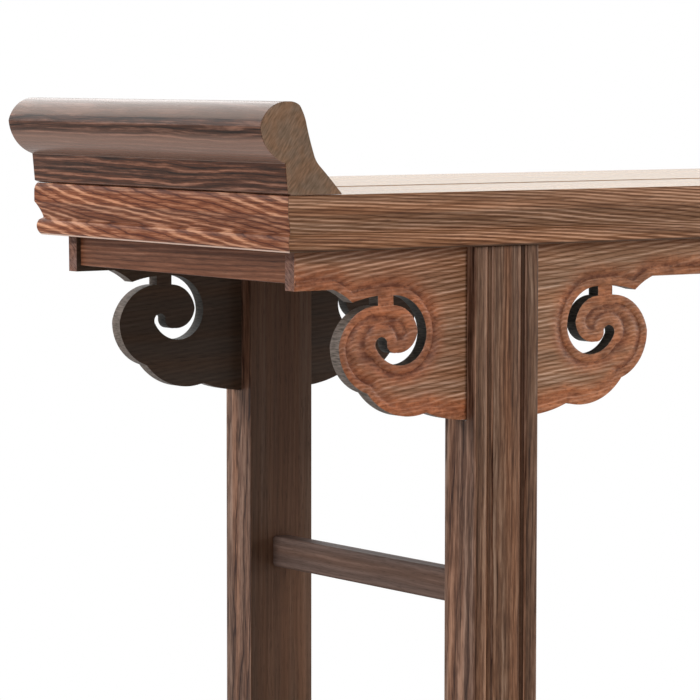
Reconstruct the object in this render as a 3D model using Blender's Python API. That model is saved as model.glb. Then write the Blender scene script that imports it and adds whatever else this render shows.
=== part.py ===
"""Low East Asian tea table: recessed legs, openwork cloud-scroll aprons and everted end flanges.

Metres, +Z up, origin on the floor under the middle of the table. +X runs along the length,
-Y is the front. Every piece is a separate solid, and fitted pieces keep one named clearance.
"""
import math

import bmesh
import bpy
from mathutils import Matrix, Vector

# Driving dimensions: the top
TOP_LENGTH = 1.000
TOP_DEPTH = 0.312
TOP_HEIGHT = 0.460
CLEARANCE = 0.0003
RAIL_THICKNESS = 0.036
RAIL_WIDTH = 0.062

# Edge moulding of the rails: a nose above, a sloping neck, a quirk and a bead at the bottom
NOSE_EASE = 0.0016
NOSE_DROP = 0.0055
NECK_DROP = 0.0130
NECK_HOLLOW = 0.0005
QUIRK_DEPTH = 0.0047
QUIRK_RISE = 0.0120
BEAD_HEIGHT = 0.0105
BEAD_INSET = 0.0024
BEAD_UNDERCUT = 0.0036
BEAD_SWELL = 0.0018

# Mitred frame corner: the long rails carry the tenons
MITRE_TENON_SETBACK = 0.035
MITRE_TENON_WIDTH = 0.022
MITRE_TENON_THICKNESS = 0.008
MITRE_TENON_RISE = 0.010
MITRE_TENON_COVER = 0.012
MITRE_TENON_ROOT = 0.012

# Floating panel of two boards, held by tongues
PANEL_THICKNESS = 0.015
TONGUE_THICKNESS = 0.005
TONGUE_LENGTH = 0.007
TONGUE_RISE = 0.005
SEAM_SETBACK = 0.130
SEAM_TONGUE_LENGTH = 0.005

# Dovetailed cross battens under the panel
BATTEN_COUNT = 3
BATTEN_WIDTH = 0.030
BATTEN_HEIGHT = 0.014
DOVETAIL_DEPTH = 0.004
DOVETAIL_NECK = 0.014
DOVETAIL_FLARE = 0.0015
DOVETAIL_ROOT = 0.002
DOVETAIL_END_SETBACK = 0.001
BATTEN_TENON_LENGTH = 0.014
BATTEN_TENON_WIDTH = 0.018
BATTEN_TENON_HEIGHT = 0.007

# Long aprons with integral spandrels
APRON_THICKNESS = 0.0105
APRON_SETBACK = 0.018
APRON_END_INSET = 0.017
APRON_DROP = 0.0252
APRON_HOUSING = 0.004
SPANDREL_MARGIN = 0.0302
SPANDREL_TOE_DROP = 0.0891
SPANDREL_TOE_SWELL = 0.0015

# End aprons
END_APRON_THICKNESS = 0.0105
END_APRON_DROP = 0.021
END_APRON_RECESS = 0.003
END_APRON_STUB_LENGTH = 0.004
END_APRON_STUB_THICKNESS = 0.006
END_APRON_STUB_HEIGHT = 0.010
END_APRON_STUB_RISE = 0.004

# Legs: forked at the top to clip over the long aprons
LEG_WIDTH = 0.053
LEG_FRONT_CHEEK = 0.0105
LEG_BACK_CHEEK = 0.0125
LEG_TENON_HEIGHT = 0.018
LEG_TENON_WIDTH = 0.034
LEG_FRONT_TENON = 0.0065
LEG_BACK_TENON = 0.008
EDGE_BEAD_WIDTH = 0.0100
EDGE_BEAD_ROUND = 0.0030
GROOVE_WIDTH = 0.0042
GROOVE_DEPTH = 0.0030
FIELD_CROWN = 0.0008
BEAD_CROWN = 0.0008

# Stretchers, one between the legs of each end
STRETCHER_DROP = 0.256
STRETCHER_WIDTH = 0.015
STRETCHER_HEIGHT = 0.022
STRETCHER_ROUND = 0.0025
STRETCHER_TENON_LENGTH = 0.016
STRETCHER_TENON_WIDTH = 0.008
STRETCHER_TENON_HEIGHT = 0.014

# Everted flanges and their dowels
FLANGE_END_SETBACK = 0.0008
DOWEL_COUNT = 3
DOWEL_DIAMETER = 0.008
DOWEL_LENGTH = 0.028
DOWEL_INSET = 0.014
DOWEL_SIDES = 20

# Outline of one spandrel, as (out from the leg centre, down from the apron's straight lower edge).
# Each step is an arc: a point that it passes through, then the point where it ends.
COVE_START = 0.1328
SPANDREL_ARCS = [
    ((0.1262, 0.0030), (0.1177, 0.0088)),
    ((0.1076, 0.0064), (0.0975, 0.0051)),
    ((0.0975, 0.0083), (0.0975, 0.0115)),
    ((0.1162, 0.0174), (0.1283, 0.0364)),
    ((0.1234, 0.0543), (0.1060, 0.0678)),
    ((0.0895, 0.0806), (0.0586, 0.0826)),
]

# Outline of the spiral slot, as above, round from the bridge to the eye and back
SLOT_START = (0.0852, 0.0052)
SLOT_ARCS = [
    ((0.0672, 0.0120), (0.0586, 0.0298)),
    ((0.0632, 0.0433), (0.0768, 0.0508)),
    ((0.0912, 0.0473), (0.0993, 0.0382)),
    ((0.0953, 0.0319), (0.0902, 0.0350)),
    ((0.0890, 0.0403), (0.0830, 0.0426)),
    ((0.0714, 0.0393), (0.0658, 0.0288)),
    ((0.0718, 0.0172), (0.0852, 0.0116)),
]

# End profile of a flange, as (in from the end of the top, up from the top)
FLANGE_FOOT = (-0.0018, 0.0200)
FLANGE_ARCS = [
    ((-0.0145, 0.0284), (-0.0206, 0.0430)),
    ((-0.0145, 0.0533), (0.0010, 0.0586)),
    ((0.0060, 0.0580), (0.0095, 0.0562)),
    ((0.0123, 0.0513), (0.0144, 0.0454)),
    ((0.0173, 0.0345), (0.0202, 0.0256)),
    ((0.0217, 0.0220), (0.0245, 0.0183)),
    ((0.0340, 0.0087), (0.0420, 0.0)),
]
ARC_STEPS = 7
SMALL_ARC_STEPS = 4

# Levels and places that follow from the sizes above
RAIL_BOTTOM = TOP_HEIGHT - RAIL_THICKNESS
PANEL_BOTTOM = TOP_HEIGHT - PANEL_THICKNESS
TONGUE_BOTTOM = PANEL_BOTTOM + TONGUE_RISE
TONGUE_TOP = TONGUE_BOTTOM + TONGUE_THICKNESS
INNER_HALF_LENGTH = TOP_LENGTH / 2 - RAIL_WIDTH
INNER_HALF_DEPTH = TOP_DEPTH / 2 - RAIL_WIDTH
APRON_EDGE = RAIL_BOTTOM - APRON_DROP
APRON_FRONT = -TOP_DEPTH / 2 + APRON_SETBACK
APRON_BACK = APRON_FRONT + APRON_THICKNESS
LEG_X = TOP_LENGTH / 2 - APRON_END_INSET - SPANDREL_MARGIN - COVE_START
LEG_FRONT = APRON_FRONT - LEG_FRONT_CHEEK
LEG_BACK = APRON_BACK + LEG_BACK_CHEEK
SEAM_Y = -TOP_DEPTH / 2 + SEAM_SETBACK
END_APRON_FACE = -TOP_LENGTH / 2 + APRON_END_INSET + END_APRON_RECESS
DOWEL_X = -TOP_LENGTH / 2 + DOWEL_INSET
DOWEL_BOTTOM = TOP_HEIGHT - DOWEL_LENGTH / 2
DOWEL_TOP = TOP_HEIGHT + DOWEL_LENGTH / 2
HALF_TURN = Matrix.Rotation(math.pi, 4, "Z")

for old_object in list(bpy.data.objects):
    bpy.data.objects.remove(old_object)


def arc(start, via, end, steps):
    """Points after start up to end on the circle through the three points; a line if they are in one."""
    ax, ay = start
    bx, by = via
    cx, cy = end
    turn = 2 * (ax * (by - cy) + bx * (cy - ay) + cx * (ay - by))
    if abs(turn) < 1e-12:
        return [end]
    a2 = ax * ax + ay * ay
    b2 = bx * bx + by * by
    c2 = cx * cx + cy * cy
    mid_x = (a2 * (by - cy) + b2 * (cy - ay) + c2 * (ay - by)) / turn
    mid_y = (a2 * (cx - bx) + b2 * (ax - cx) + c2 * (bx - ax)) / turn
    radius = math.hypot(ax - mid_x, ay - mid_y)
    first = math.atan2(ay - mid_y, ax - mid_x)
    sweep = math.atan2(cy - mid_y, cx - mid_x) - first
    if turn > 0 and sweep < 0:
        sweep += 2 * math.pi
    if turn < 0 and sweep > 0:
        sweep -= 2 * math.pi
    points = []
    for step in range(1, steps):
        angle = first + sweep * step / steps
        points.append((mid_x + radius * math.cos(angle), mid_y + radius * math.sin(angle)))
    points.append(end)
    return points


def arc_path(start, arcs):
    """Points of a chain of arcs, with the start point."""
    points = [start]
    for via, end in arcs:
        points.extend(arc(points[-1], via, end, ARC_STEPS))
    return points


def bow(start, end, rise, steps):
    """An arc from start to end whose middle stands off the chord by rise, to the left of its direction."""
    run_x = end[0] - start[0]
    run_y = end[1] - start[1]
    length = math.hypot(run_x, run_y)
    via_x = (start[0] + end[0]) / 2 - run_y / length * rise
    via_y = (start[1] + end[1]) / 2 + run_x / length * rise
    return arc(start, (via_x, via_y), end, steps)


def solid(name, rings):
    """A closed mesh object through a list of matching rings, with both ends filled."""
    count = len(rings[0])
    vertices = [vertex for ring in rings for vertex in ring]
    faces = []
    for level in range(len(rings) - 1):
        base = level * count
        for side in range(count):
            after = (side + 1) % count
            faces.append((base + side, base + after, base + count + after, base + count + side))
    faces.append(tuple(range(count)))
    faces.append(tuple(range((len(rings) - 1) * count, len(rings) * count)))
    mesh = bpy.data.meshes.new(name)
    mesh.from_pydata(vertices, [], faces)
    shape = bmesh.new()
    shape.from_mesh(mesh)
    bmesh.ops.recalc_face_normals(shape, faces=shape.faces[:])
    shape.to_mesh(mesh)
    shape.free()
    piece = bpy.data.objects.new(name, mesh)
    bpy.context.scene.collection.objects.link(piece)
    return piece


def box(low, high, name="cutter"):
    """A box between two corners."""
    rings = []
    for z in (low[2], high[2]):
        rings.append([(low[0], low[1], z), (high[0], low[1], z), (high[0], high[1], z), (low[0], high[1], z)])
    return solid(name, rings)


def combine(piece, others, operation):
    """Apply Booleans between one piece and others, which are used up."""
    for other in others:
        modifier = piece.modifiers.new(operation.lower(), "BOOLEAN")
        modifier.operation = operation
        modifier.solver = "EXACT"
        modifier.object = other
    bpy.context.view_layer.update()
    evaluated = piece.evaluated_get(bpy.context.evaluated_depsgraph_get())
    finished = bpy.data.meshes.new_from_object(evaluated)
    piece.modifiers.clear()
    piece.data = finished
    for other in others:
        bpy.data.objects.remove(other)


def grown(low, high):
    """The corners of a box, opened by the clearance on every side."""
    gap = Vector((CLEARANCE, CLEARANCE, CLEARANCE))
    return tuple(Vector(low) - gap), tuple(Vector(high) + gap)


def wood(name, colour, roughness):
    """A satin oiled-wood material."""
    material = bpy.data.materials.new(name)
    material.use_nodes = True
    shader = material.node_tree.nodes["Principled BSDF"]
    shader.inputs["Base Color"].default_value = (*colour, 1.0)
    shader.inputs["Roughness"].default_value = roughness
    shader.inputs["Metallic"].default_value = 0.0
    return material


table = bpy.data.objects.new("table", None)
bpy.context.scene.collection.objects.link(table)

RAIL_BROWN = (0.165, 0.082, 0.048)
END_RAIL_RED = (0.190, 0.078, 0.045)
APRON_RED = (0.185, 0.080, 0.042)
LEG_BROWN = (0.130, 0.075, 0.050)
FLANGE_BROWN = (0.120, 0.070, 0.048)
PANEL_BROWN = (0.150, 0.080, 0.050)


def place(master, name, colour, turn=None, shift=(0.0, 0.0, 0.0)):
    """Put a copy of a master piece into the table under its own name and material."""
    piece = bpy.data.objects.new(name, master.data.copy())
    piece.data.name = name
    piece.data.materials.clear()
    piece.data.materials.append(wood(name + "_wood", colour, 0.42))
    piece.data.shade_smooth()
    piece.data.set_sharp_from_angle(angle=math.radians(28))
    bpy.context.scene.collection.objects.link(piece)
    piece.parent = table
    piece.location = shift
    if turn is not None:
        piece.rotation_euler = turn.to_euler()
    return piece


def drop(*masters):
    """Remove master pieces once they are placed."""
    for master in masters:
        bpy.data.objects.remove(master)


def rail_profile():
    """Section of a rail as (in from the outer face, height), from the top edge round to the inner face."""
    nose_radius = (NOSE_EASE ** 2 + NOSE_DROP ** 2) / (2 * NOSE_EASE)
    nose_angle = math.asin(NOSE_DROP / nose_radius)
    profile = []
    for step in range(SMALL_ARC_STEPS + 1):
        angle = nose_angle * (1 - step / SMALL_ARC_STEPS)
        inset = nose_radius * (1 - math.cos(angle))
        profile.append((inset, TOP_HEIGHT - NOSE_DROP + nose_radius * math.sin(angle)))
    profile.append((0.0, TOP_HEIGHT - NECK_DROP))
    profile += bow(profile[-1], (QUIRK_DEPTH, RAIL_BOTTOM + QUIRK_RISE), NECK_HOLLOW, SMALL_ARC_STEPS)
    profile.append((BEAD_INSET, RAIL_BOTTOM + BEAD_HEIGHT))
    profile += bow(profile[-1], (BEAD_UNDERCUT, RAIL_BOTTOM), -BEAD_SWELL, ARC_STEPS)
    groove_bottom = RAIL_WIDTH - TONGUE_LENGTH - CLEARANCE
    profile.append((RAIL_WIDTH, RAIL_BOTTOM))
    profile.append((RAIL_WIDTH, TONGUE_BOTTOM - CLEARANCE))
    profile.append((groove_bottom, TONGUE_BOTTOM - CLEARANCE))
    profile.append((groove_bottom, TONGUE_TOP + CLEARANCE))
    profile.append((RAIL_WIDTH, TONGUE_TOP + CLEARANCE))
    profile.append((RAIL_WIDTH, TOP_HEIGHT))
    return profile


# Sizes and boxes shared by pieces that fit each other

def apron_top_box():
    """The strip of the front apron that is let into the rails."""
    end = TOP_LENGTH / 2 - APRON_END_INSET
    return (-end, APRON_FRONT, RAIL_BOTTOM - CLEARANCE), (end, APRON_BACK, RAIL_BOTTOM + APRON_HOUSING)


def end_apron_top_box():
    """The strip of the left end apron that is let into the end rail."""
    reach = -APRON_BACK - CLEARANCE
    back = END_APRON_FACE + END_APRON_THICKNESS
    return (END_APRON_FACE, -reach, RAIL_BOTTOM - CLEARANCE), (back, reach, RAIL_BOTTOM + APRON_HOUSING)


def end_apron_stub_box(side):
    """The stub of the left end apron in the back of the front (-1) or rear (1) apron."""
    middle = END_APRON_FACE + END_APRON_THICKNESS / 2
    half = END_APRON_STUB_THICKNESS / 2
    root = side * (-APRON_BACK - END_APRON_STUB_LENGTH)
    tip = side * (-APRON_BACK + END_APRON_STUB_LENGTH)
    low_z = RAIL_BOTTOM - END_APRON_DROP + END_APRON_STUB_RISE
    low = (middle - half, min(root, tip), low_z)
    return low, (middle + half, max(root, tip), low_z + END_APRON_STUB_HEIGHT)


def leg_tenon_boxes(centre_x):
    """The two tenons of a front leg, one on each cheek of its fork."""
    half = LEG_TENON_WIDTH / 2
    low_z = RAIL_BOTTOM - CLEARANCE
    high_z = RAIL_BOTTOM + LEG_TENON_HEIGHT
    front_face = APRON_FRONT - CLEARANCE
    back_middle = APRON_BACK + LEG_BACK_CHEEK / 2
    boxes = []
    for low_y, high_y in (
        (front_face - LEG_FRONT_TENON, front_face),
        (back_middle - LEG_BACK_TENON / 2, back_middle + LEG_BACK_TENON / 2),
    ):
        boxes.append(((centre_x - half, low_y, low_z), (centre_x + half, high_y, high_z)))
    return boxes


def mitre_tenon_box(side_x):
    """The tenon of the front rail at one end."""
    tip = TOP_LENGTH / 2 - MITRE_TENON_COVER
    root = TOP_LENGTH / 2 - MITRE_TENON_SETBACK - MITRE_TENON_WIDTH / 2 - MITRE_TENON_ROOT
    low_x, high_x = sorted((side_x * tip, side_x * root))
    middle = -TOP_DEPTH / 2 + MITRE_TENON_SETBACK
    low_z = RAIL_BOTTOM + MITRE_TENON_RISE
    half = MITRE_TENON_WIDTH / 2
    return (low_x, middle - half, low_z), (high_x, middle + half, low_z + MITRE_TENON_THICKNESS)


def batten_places():
    """X of each cross batten, evenly along the panel."""
    spacing = 2 * INNER_HALF_LENGTH / (BATTEN_COUNT + 1)
    return [(number - (BATTEN_COUNT - 1) / 2) * spacing for number in range(BATTEN_COUNT)]


def batten_tenon_box(centre_x, side):
    """A batten's tenon in the front (-1) or rear (1) rail."""
    half = BATTEN_TENON_WIDTH / 2
    inner = INNER_HALF_DEPTH - CLEARANCE
    low_y, high_y = sorted((side * (inner - BATTEN_TENON_LENGTH), side * (inner + BATTEN_TENON_LENGTH)))
    low_z = PANEL_BOTTOM - BATTEN_HEIGHT / 2 - BATTEN_TENON_HEIGHT / 2
    return (centre_x - half, low_y, low_z), (centre_x + half, high_y, low_z + BATTEN_TENON_HEIGHT)


def dovetail_ring(centre_x, end_y, gap):
    """Section of a batten's dovetail at one end, opened by a gap for its slot."""
    neck = DOVETAIL_NECK / 2 + gap
    wide = DOVETAIL_NECK / 2 + DOVETAIL_FLARE + gap
    low = PANEL_BOTTOM - CLEARANCE - DOVETAIL_ROOT
    high = PANEL_BOTTOM + DOVETAIL_DEPTH + gap
    return [
        (centre_x - neck, end_y, low),
        (centre_x + neck, end_y, low),
        (centre_x + neck, end_y, PANEL_BOTTOM),
        (centre_x + wide, end_y, high),
        (centre_x - wide, end_y, high),
        (centre_x - neck, end_y, PANEL_BOTTOM),
    ]


def dowel_places():
    """Y of each flange dowel, evenly along the end."""
    spacing = TOP_DEPTH / DOWEL_COUNT
    return [(number - (DOWEL_COUNT - 1) / 2) * spacing for number in range(DOWEL_COUNT)]


def peg(centre_x, centre_y, low, high, radius):
    """A round upright peg."""
    rings = []
    for z in (low, high):
        ring = []
        for number in range(DOWEL_SIDES):
            angle = 2 * math.pi * number / DOWEL_SIDES
            ring.append((centre_x + radius * math.cos(angle), centre_y + radius * math.sin(angle), z))
        rings.append(ring)
    return solid("peg", rings)


# Long rails: mitred, grooved for the panel, mortised for legs and battens
def make_long_rail():
    mitre_gap = CLEARANCE * math.sqrt(2)
    rings = []
    for side in (-1, 1):
        ring = []
        for inset, height in rail_profile():
            ring.append((side * (TOP_LENGTH / 2 - inset - mitre_gap), -TOP_DEPTH / 2 + inset, height))
        rings.append(ring)
    rail = solid("long_rail", rings)
    combine(rail, [box(*mitre_tenon_box(side)) for side in (-1, 1)], "UNION")
    cutters = [box(*grown(*apron_top_box()))]
    end_low, end_high = grown(*end_apron_top_box())
    cutters.append(box(end_low, end_high))
    cutters.append(box((-end_high[0], end_low[1], end_low[2]), (-end_low[0], end_high[1], end_high[2])))
    for side in (-1, 1):
        for low, high in leg_tenon_boxes(side * LEG_X):
            cutters.append(box(*grown(low, high)))
    for centre_x in batten_places():
        cutters.append(box(*grown(*batten_tenon_box(centre_x, -1))))
    combine(rail, cutters, "DIFFERENCE")
    return rail


# End rails: mitred, mortised for the long rails' tenons, drilled for the flange dowels
def make_end_rail():
    rings = []
    for side in (-1, 1):
        ring = []
        for inset, height in rail_profile():
            ring.append((-TOP_LENGTH / 2 + inset, side * (TOP_DEPTH / 2 - inset), height))
        rings.append(ring)
    rail = solid("end_rail", rings)
    low, high = grown(*mitre_tenon_box(-1))
    apron_low, apron_high = grown(*apron_top_box())
    cutters = [box(*grown(*end_apron_top_box()))]
    for side in (1, -1):
        for corner_low, corner_high in ((low, high), (apron_low, apron_high)):
            low_y, high_y = sorted((side * corner_low[1], side * corner_high[1]))
            cut_low = (corner_low[0], low_y, corner_low[2])
            cutters.append(box(cut_low, (corner_high[0], high_y, corner_high[2])))
    for centre_y in dowel_places():
        hole_bottom = DOWEL_BOTTOM - CLEARANCE
        cutters.append(peg(DOWEL_X, centre_y, hole_bottom, DOWEL_TOP, DOWEL_DIAMETER / 2 + CLEARANCE))
    combine(rail, cutters, "DIFFERENCE")
    return rail


# Panel boards: tongued into the rails and into each other, slotted below for the battens
def make_panel_board(side):
    edge = INNER_HALF_DEPTH - CLEARANCE
    half_length = INNER_HALF_LENGTH - CLEARANCE
    if side < 0:
        near, far = -edge, SEAM_Y - CLEARANCE / 2
        tongue_near, tongue_far = near - TONGUE_LENGTH + CLEARANCE, far + SEAM_TONGUE_LENGTH
    else:
        near, far = SEAM_Y + CLEARANCE / 2, edge
        tongue_near, tongue_far = near + SEAM_TONGUE_LENGTH * 2, far + TONGUE_LENGTH - CLEARANCE
    board = box((-half_length, near, PANEL_BOTTOM), (half_length, far, TOP_HEIGHT), "panel_board")
    tongue_length = half_length + TONGUE_LENGTH - CLEARANCE
    tongue_low = (-tongue_length, tongue_near, TONGUE_BOTTOM)
    tongue_high = (tongue_length, tongue_far, TONGUE_TOP)
    combine(board, [box(tongue_low, tongue_high)], "UNION")
    cutters = []
    for centre_x in batten_places():
        ends = [dovetail_ring(centre_x, end_y, CLEARANCE) for end_y in (-INNER_HALF_DEPTH, INNER_HALF_DEPTH)]
        cutters.append(solid("cutter", ends))
    if side > 0:
        groove_low, groove_high = grown(
            (-tongue_length - TONGUE_LENGTH, near - SEAM_TONGUE_LENGTH, TONGUE_BOTTOM),
            (tongue_length + TONGUE_LENGTH, near + SEAM_TONGUE_LENGTH, TONGUE_TOP),
        )
        cutters.append(box(groove_low, groove_high))
    combine(board, cutters, "DIFFERENCE")
    return board


# Cross battens: a bar with a dovetail along its top and a tenon at each end
def make_batten():
    reach = INNER_HALF_DEPTH - CLEARANCE
    half = BATTEN_WIDTH / 2
    high_z = PANEL_BOTTOM - CLEARANCE
    batten = box((-half, -reach, PANEL_BOTTOM - BATTEN_HEIGHT), (half, reach, high_z), "batten")
    key_end = reach - DOVETAIL_END_SETBACK
    key = solid("key", [dovetail_ring(0.0, end_y, 0.0) for end_y in (-key_end, key_end)])
    combine(batten, [key] + [box(*batten_tenon_box(0.0, side)) for side in (-1, 1)], "UNION")
    return batten


# Long aprons: one board with a cloud-scroll spandrel on either side of each leg
def half_spandrel():
    """One side of a spandrel, from the straight apron to the side of the leg."""
    points = arc_path((COVE_START, 0.0), SPANDREL_ARCS)
    toe = (LEG_WIDTH / 2, SPANDREL_TOE_DROP)
    return points + bow(points[-1], toe, -SPANDREL_TOE_SWELL, ARC_STEPS)


def make_long_apron():
    end = TOP_LENGTH / 2 - APRON_END_INSET
    half = half_spandrel()
    low_edge = [(-end, 0.0)]
    for leg_side in (-1, 1):
        centre = leg_side * LEG_X
        low_edge += [(centre - out, down) for out, down in half]
        low_edge += [(centre + out, down) for out, down in reversed(half)]
    low_edge.append((end, 0.0))
    outline = [(x, APRON_EDGE - down) for x, down in low_edge]
    top = RAIL_BOTTOM + APRON_HOUSING
    outline += [(end, top), (-end, top)]
    rings = [[(x, y, z) for x, z in outline] for y in (APRON_FRONT, APRON_BACK)]
    apron = solid("long_apron", rings)
    cutters = []
    slot = arc_path(SLOT_START, SLOT_ARCS)
    for leg_side in (-1, 1):
        for scroll_side in (-1, 1):
            ring = [(leg_side * LEG_X + scroll_side * out, APRON_EDGE - down) for out, down in slot]
            depths = (APRON_FRONT - APRON_THICKNESS, APRON_BACK + APRON_THICKNESS)
            cutters.append(solid("cutter", [[(x, y, z) for x, z in ring] for y in depths]))
    stub_low, stub_high = grown(*end_apron_stub_box(-1))
    cutters.append(box(stub_low, stub_high))
    cutters.append(box((-stub_high[0], stub_low[1], stub_low[2]), (-stub_low[0], stub_high[1], stub_high[2])))
    combine(apron, cutters, "DIFFERENCE")
    return apron


# End aprons: a plain narrow board stubbed into the long aprons
def make_end_apron():
    low, high = end_apron_top_box()
    apron = box((low[0], low[1], RAIL_BOTTOM - END_APRON_DROP), high, "end_apron")
    combine(apron, [box(*end_apron_stub_box(side)) for side in (-1, 1)], "UNION")
    return apron


# Legs: moulded front face, fork for the apron, tenons above, mortise for the stretcher
def leg_section():
    """Half of the leg's section as (out from the middle, back from the front face), middle to side."""
    half = LEG_WIDTH / 2
    groove_out = half - EDGE_BEAD_WIDTH
    groove_in = groove_out - GROOVE_WIDTH
    bead_middle = half - EDGE_BEAD_WIDTH / 2
    section = [(0.0, 0.0)]
    section += arc(section[-1], (groove_in / 2, FIELD_CROWN / 4), (groove_in, FIELD_CROWN), SMALL_ARC_STEPS)
    groove_middle = (groove_in + GROOVE_WIDTH / 2, GROOVE_DEPTH)
    section += arc(section[-1], groove_middle, (groove_out, BEAD_CROWN), ARC_STEPS)
    bead_shoulder = ((groove_out + bead_middle) / 2, BEAD_CROWN / 4)
    section += arc(section[-1], bead_shoulder, (bead_middle, 0.0), SMALL_ARC_STEPS)
    round_turn = EDGE_BEAD_ROUND * (1 - math.sqrt(0.5))
    section.append((half - EDGE_BEAD_ROUND, 0.0))
    round_middle = (half - round_turn, round_turn)
    section += arc(section[-1], round_middle, (half, EDGE_BEAD_ROUND), SMALL_ARC_STEPS)
    section.append((half, LEG_BACK - LEG_FRONT))
    return section


def make_leg():
    half_section = leg_section()
    section = half_section + [(-out, back) for out, back in reversed(half_section[1:])]
    rings = []
    for z in (0.0, RAIL_BOTTOM - CLEARANCE):
        rings.append([(out, LEG_FRONT + back, z) for out, back in section])
    leg = solid("leg", rings)
    raised = []
    for low, high in leg_tenon_boxes(0.0):
        raised.append(box((low[0], low[1], low[2] - LEG_TENON_HEIGHT), high))
    combine(leg, raised, "UNION")
    fork_low = (-LEG_WIDTH, APRON_FRONT - CLEARANCE, APRON_EDGE - SPANDREL_TOE_DROP - CLEARANCE)
    fork_high = (LEG_WIDTH, APRON_BACK + CLEARANCE, TOP_HEIGHT)
    mortise = grown(*stretcher_tenon_box())
    combine(leg, [box(fork_low, fork_high), box(*mortise)], "DIFFERENCE")
    return leg


# Stretchers: a bar with eased edges, tenoned into the inner faces of two legs
def stretcher_tenon_box():
    """The stretcher's front tenon, on the leg's own centre line."""
    half = STRETCHER_TENON_WIDTH / 2
    middle = TOP_HEIGHT - STRETCHER_DROP - STRETCHER_HEIGHT / 2
    low = (-half, LEG_BACK - STRETCHER_TENON_LENGTH, middle - STRETCHER_TENON_HEIGHT / 2)
    high = (half, LEG_BACK + STRETCHER_TENON_LENGTH, middle + STRETCHER_TENON_HEIGHT / 2)
    return low, high


def make_stretcher():
    half_width = STRETCHER_WIDTH / 2 - STRETCHER_ROUND
    half_height = STRETCHER_HEIGHT / 2 - STRETCHER_ROUND
    middle = TOP_HEIGHT - STRETCHER_DROP - STRETCHER_HEIGHT / 2
    corners = ((half_width, half_height), (-half_width, half_height),
               (-half_width, -half_height), (half_width, -half_height))
    ring = []
    for number, (x, z) in enumerate(corners):
        for step in range(SMALL_ARC_STEPS + 1):
            angle = math.pi / 2 * (number + step / SMALL_ARC_STEPS)
            ring_x = x + STRETCHER_ROUND * math.cos(angle)
            ring.append((ring_x, middle + z + STRETCHER_ROUND * math.sin(angle)))
    reach = -LEG_BACK - CLEARANCE
    bar = solid("stretcher", [[(x, y, z) for x, z in ring] for y in (-reach, reach)])
    low, high = stretcher_tenon_box()
    tenons = [box(low, high), box((low[0], -high[1], low[2]), (high[0], -low[1], high[2]))]
    combine(bar, tenons, "UNION")
    return bar


# Flanges: a crest profile run along each end rail, bored below for the dowels
def make_flange():
    foot = (0.0, 0.0)
    profile = [foot] + arc_path(FLANGE_FOOT, FLANGE_ARCS)
    reach = TOP_DEPTH / 2 - FLANGE_END_SETBACK
    base = TOP_HEIGHT + CLEARANCE
    rings = [[(-TOP_LENGTH / 2 + x, y, base + z) for x, z in profile] for y in (-reach, reach)]
    flange = solid("flange", rings)
    holes = []
    for centre_y in dowel_places():
        hole_top = DOWEL_TOP + CLEARANCE
        holes.append(peg(DOWEL_X, centre_y, DOWEL_BOTTOM, hole_top, DOWEL_DIAMETER / 2 + CLEARANCE))
    combine(flange, holes, "DIFFERENCE")
    return flange


# Flange dowels: hidden pegs, half in the end rail and half in the flange
def make_dowel():
    return peg(DOWEL_X, 0.0, DOWEL_BOTTOM, DOWEL_TOP, DOWEL_DIAMETER / 2)


# The assembly
long_rail = make_long_rail()
place(long_rail, "front_long_rail", RAIL_BROWN)
place(long_rail, "rear_long_rail", RAIL_BROWN, turn=HALF_TURN)

end_rail = make_end_rail()
place(end_rail, "left_end_rail", END_RAIL_RED)
place(end_rail, "right_end_rail", END_RAIL_RED, turn=HALF_TURN)

front_board = make_panel_board(-1)
place(front_board, "front_panel_board", PANEL_BROWN)
rear_board = make_panel_board(1)
place(rear_board, "rear_panel_board", PANEL_BROWN)

batten = make_batten()
for number, batten_x in enumerate(batten_places(), start=1):
    place(batten, f"cross_batten_{number}", PANEL_BROWN, shift=(batten_x, 0.0, 0.0))

long_apron = make_long_apron()
place(long_apron, "front_apron", APRON_RED)
place(long_apron, "rear_apron", APRON_RED, turn=HALF_TURN)

end_apron = make_end_apron()
place(end_apron, "left_end_apron", APRON_RED)
place(end_apron, "right_end_apron", APRON_RED, turn=HALF_TURN)

leg = make_leg()
place(leg, "front_left_leg", LEG_BROWN, shift=(-LEG_X, 0.0, 0.0))
place(leg, "front_right_leg", LEG_BROWN, shift=(LEG_X, 0.0, 0.0))
place(leg, "rear_left_leg", LEG_BROWN, turn=HALF_TURN, shift=(-LEG_X, 0.0, 0.0))
place(leg, "rear_right_leg", LEG_BROWN, turn=HALF_TURN, shift=(LEG_X, 0.0, 0.0))

stretcher = make_stretcher()
place(stretcher, "left_stretcher", LEG_BROWN, shift=(-LEG_X, 0.0, 0.0))
place(stretcher, "right_stretcher", LEG_BROWN, shift=(LEG_X, 0.0, 0.0))

flange = make_flange()
place(flange, "left_flange", FLANGE_BROWN)
place(flange, "right_flange", FLANGE_BROWN, turn=HALF_TURN)

dowel = make_dowel()
for number, dowel_y in enumerate(dowel_places(), start=1):
    dowel_shift = (0.0, dowel_y, 0.0)
    place(dowel, f"left_flange_dowel_{number}", PANEL_BROWN, shift=dowel_shift)
    place(dowel, f"right_flange_dowel_{number}", PANEL_BROWN, turn=HALF_TURN, shift=dowel_shift)

drop(long_rail, end_rail, front_board, rear_board, batten, long_apron)
drop(end_apron, leg, stretcher, flange, dowel)
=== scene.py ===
"""A low tea table in striped hardwood, with cloud-scroll aprons and everted flanges."""

import math

import bmesh
import bpy
import numpy as np
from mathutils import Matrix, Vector
from mathutils.geometry import delaunay_2d_cdt


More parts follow.
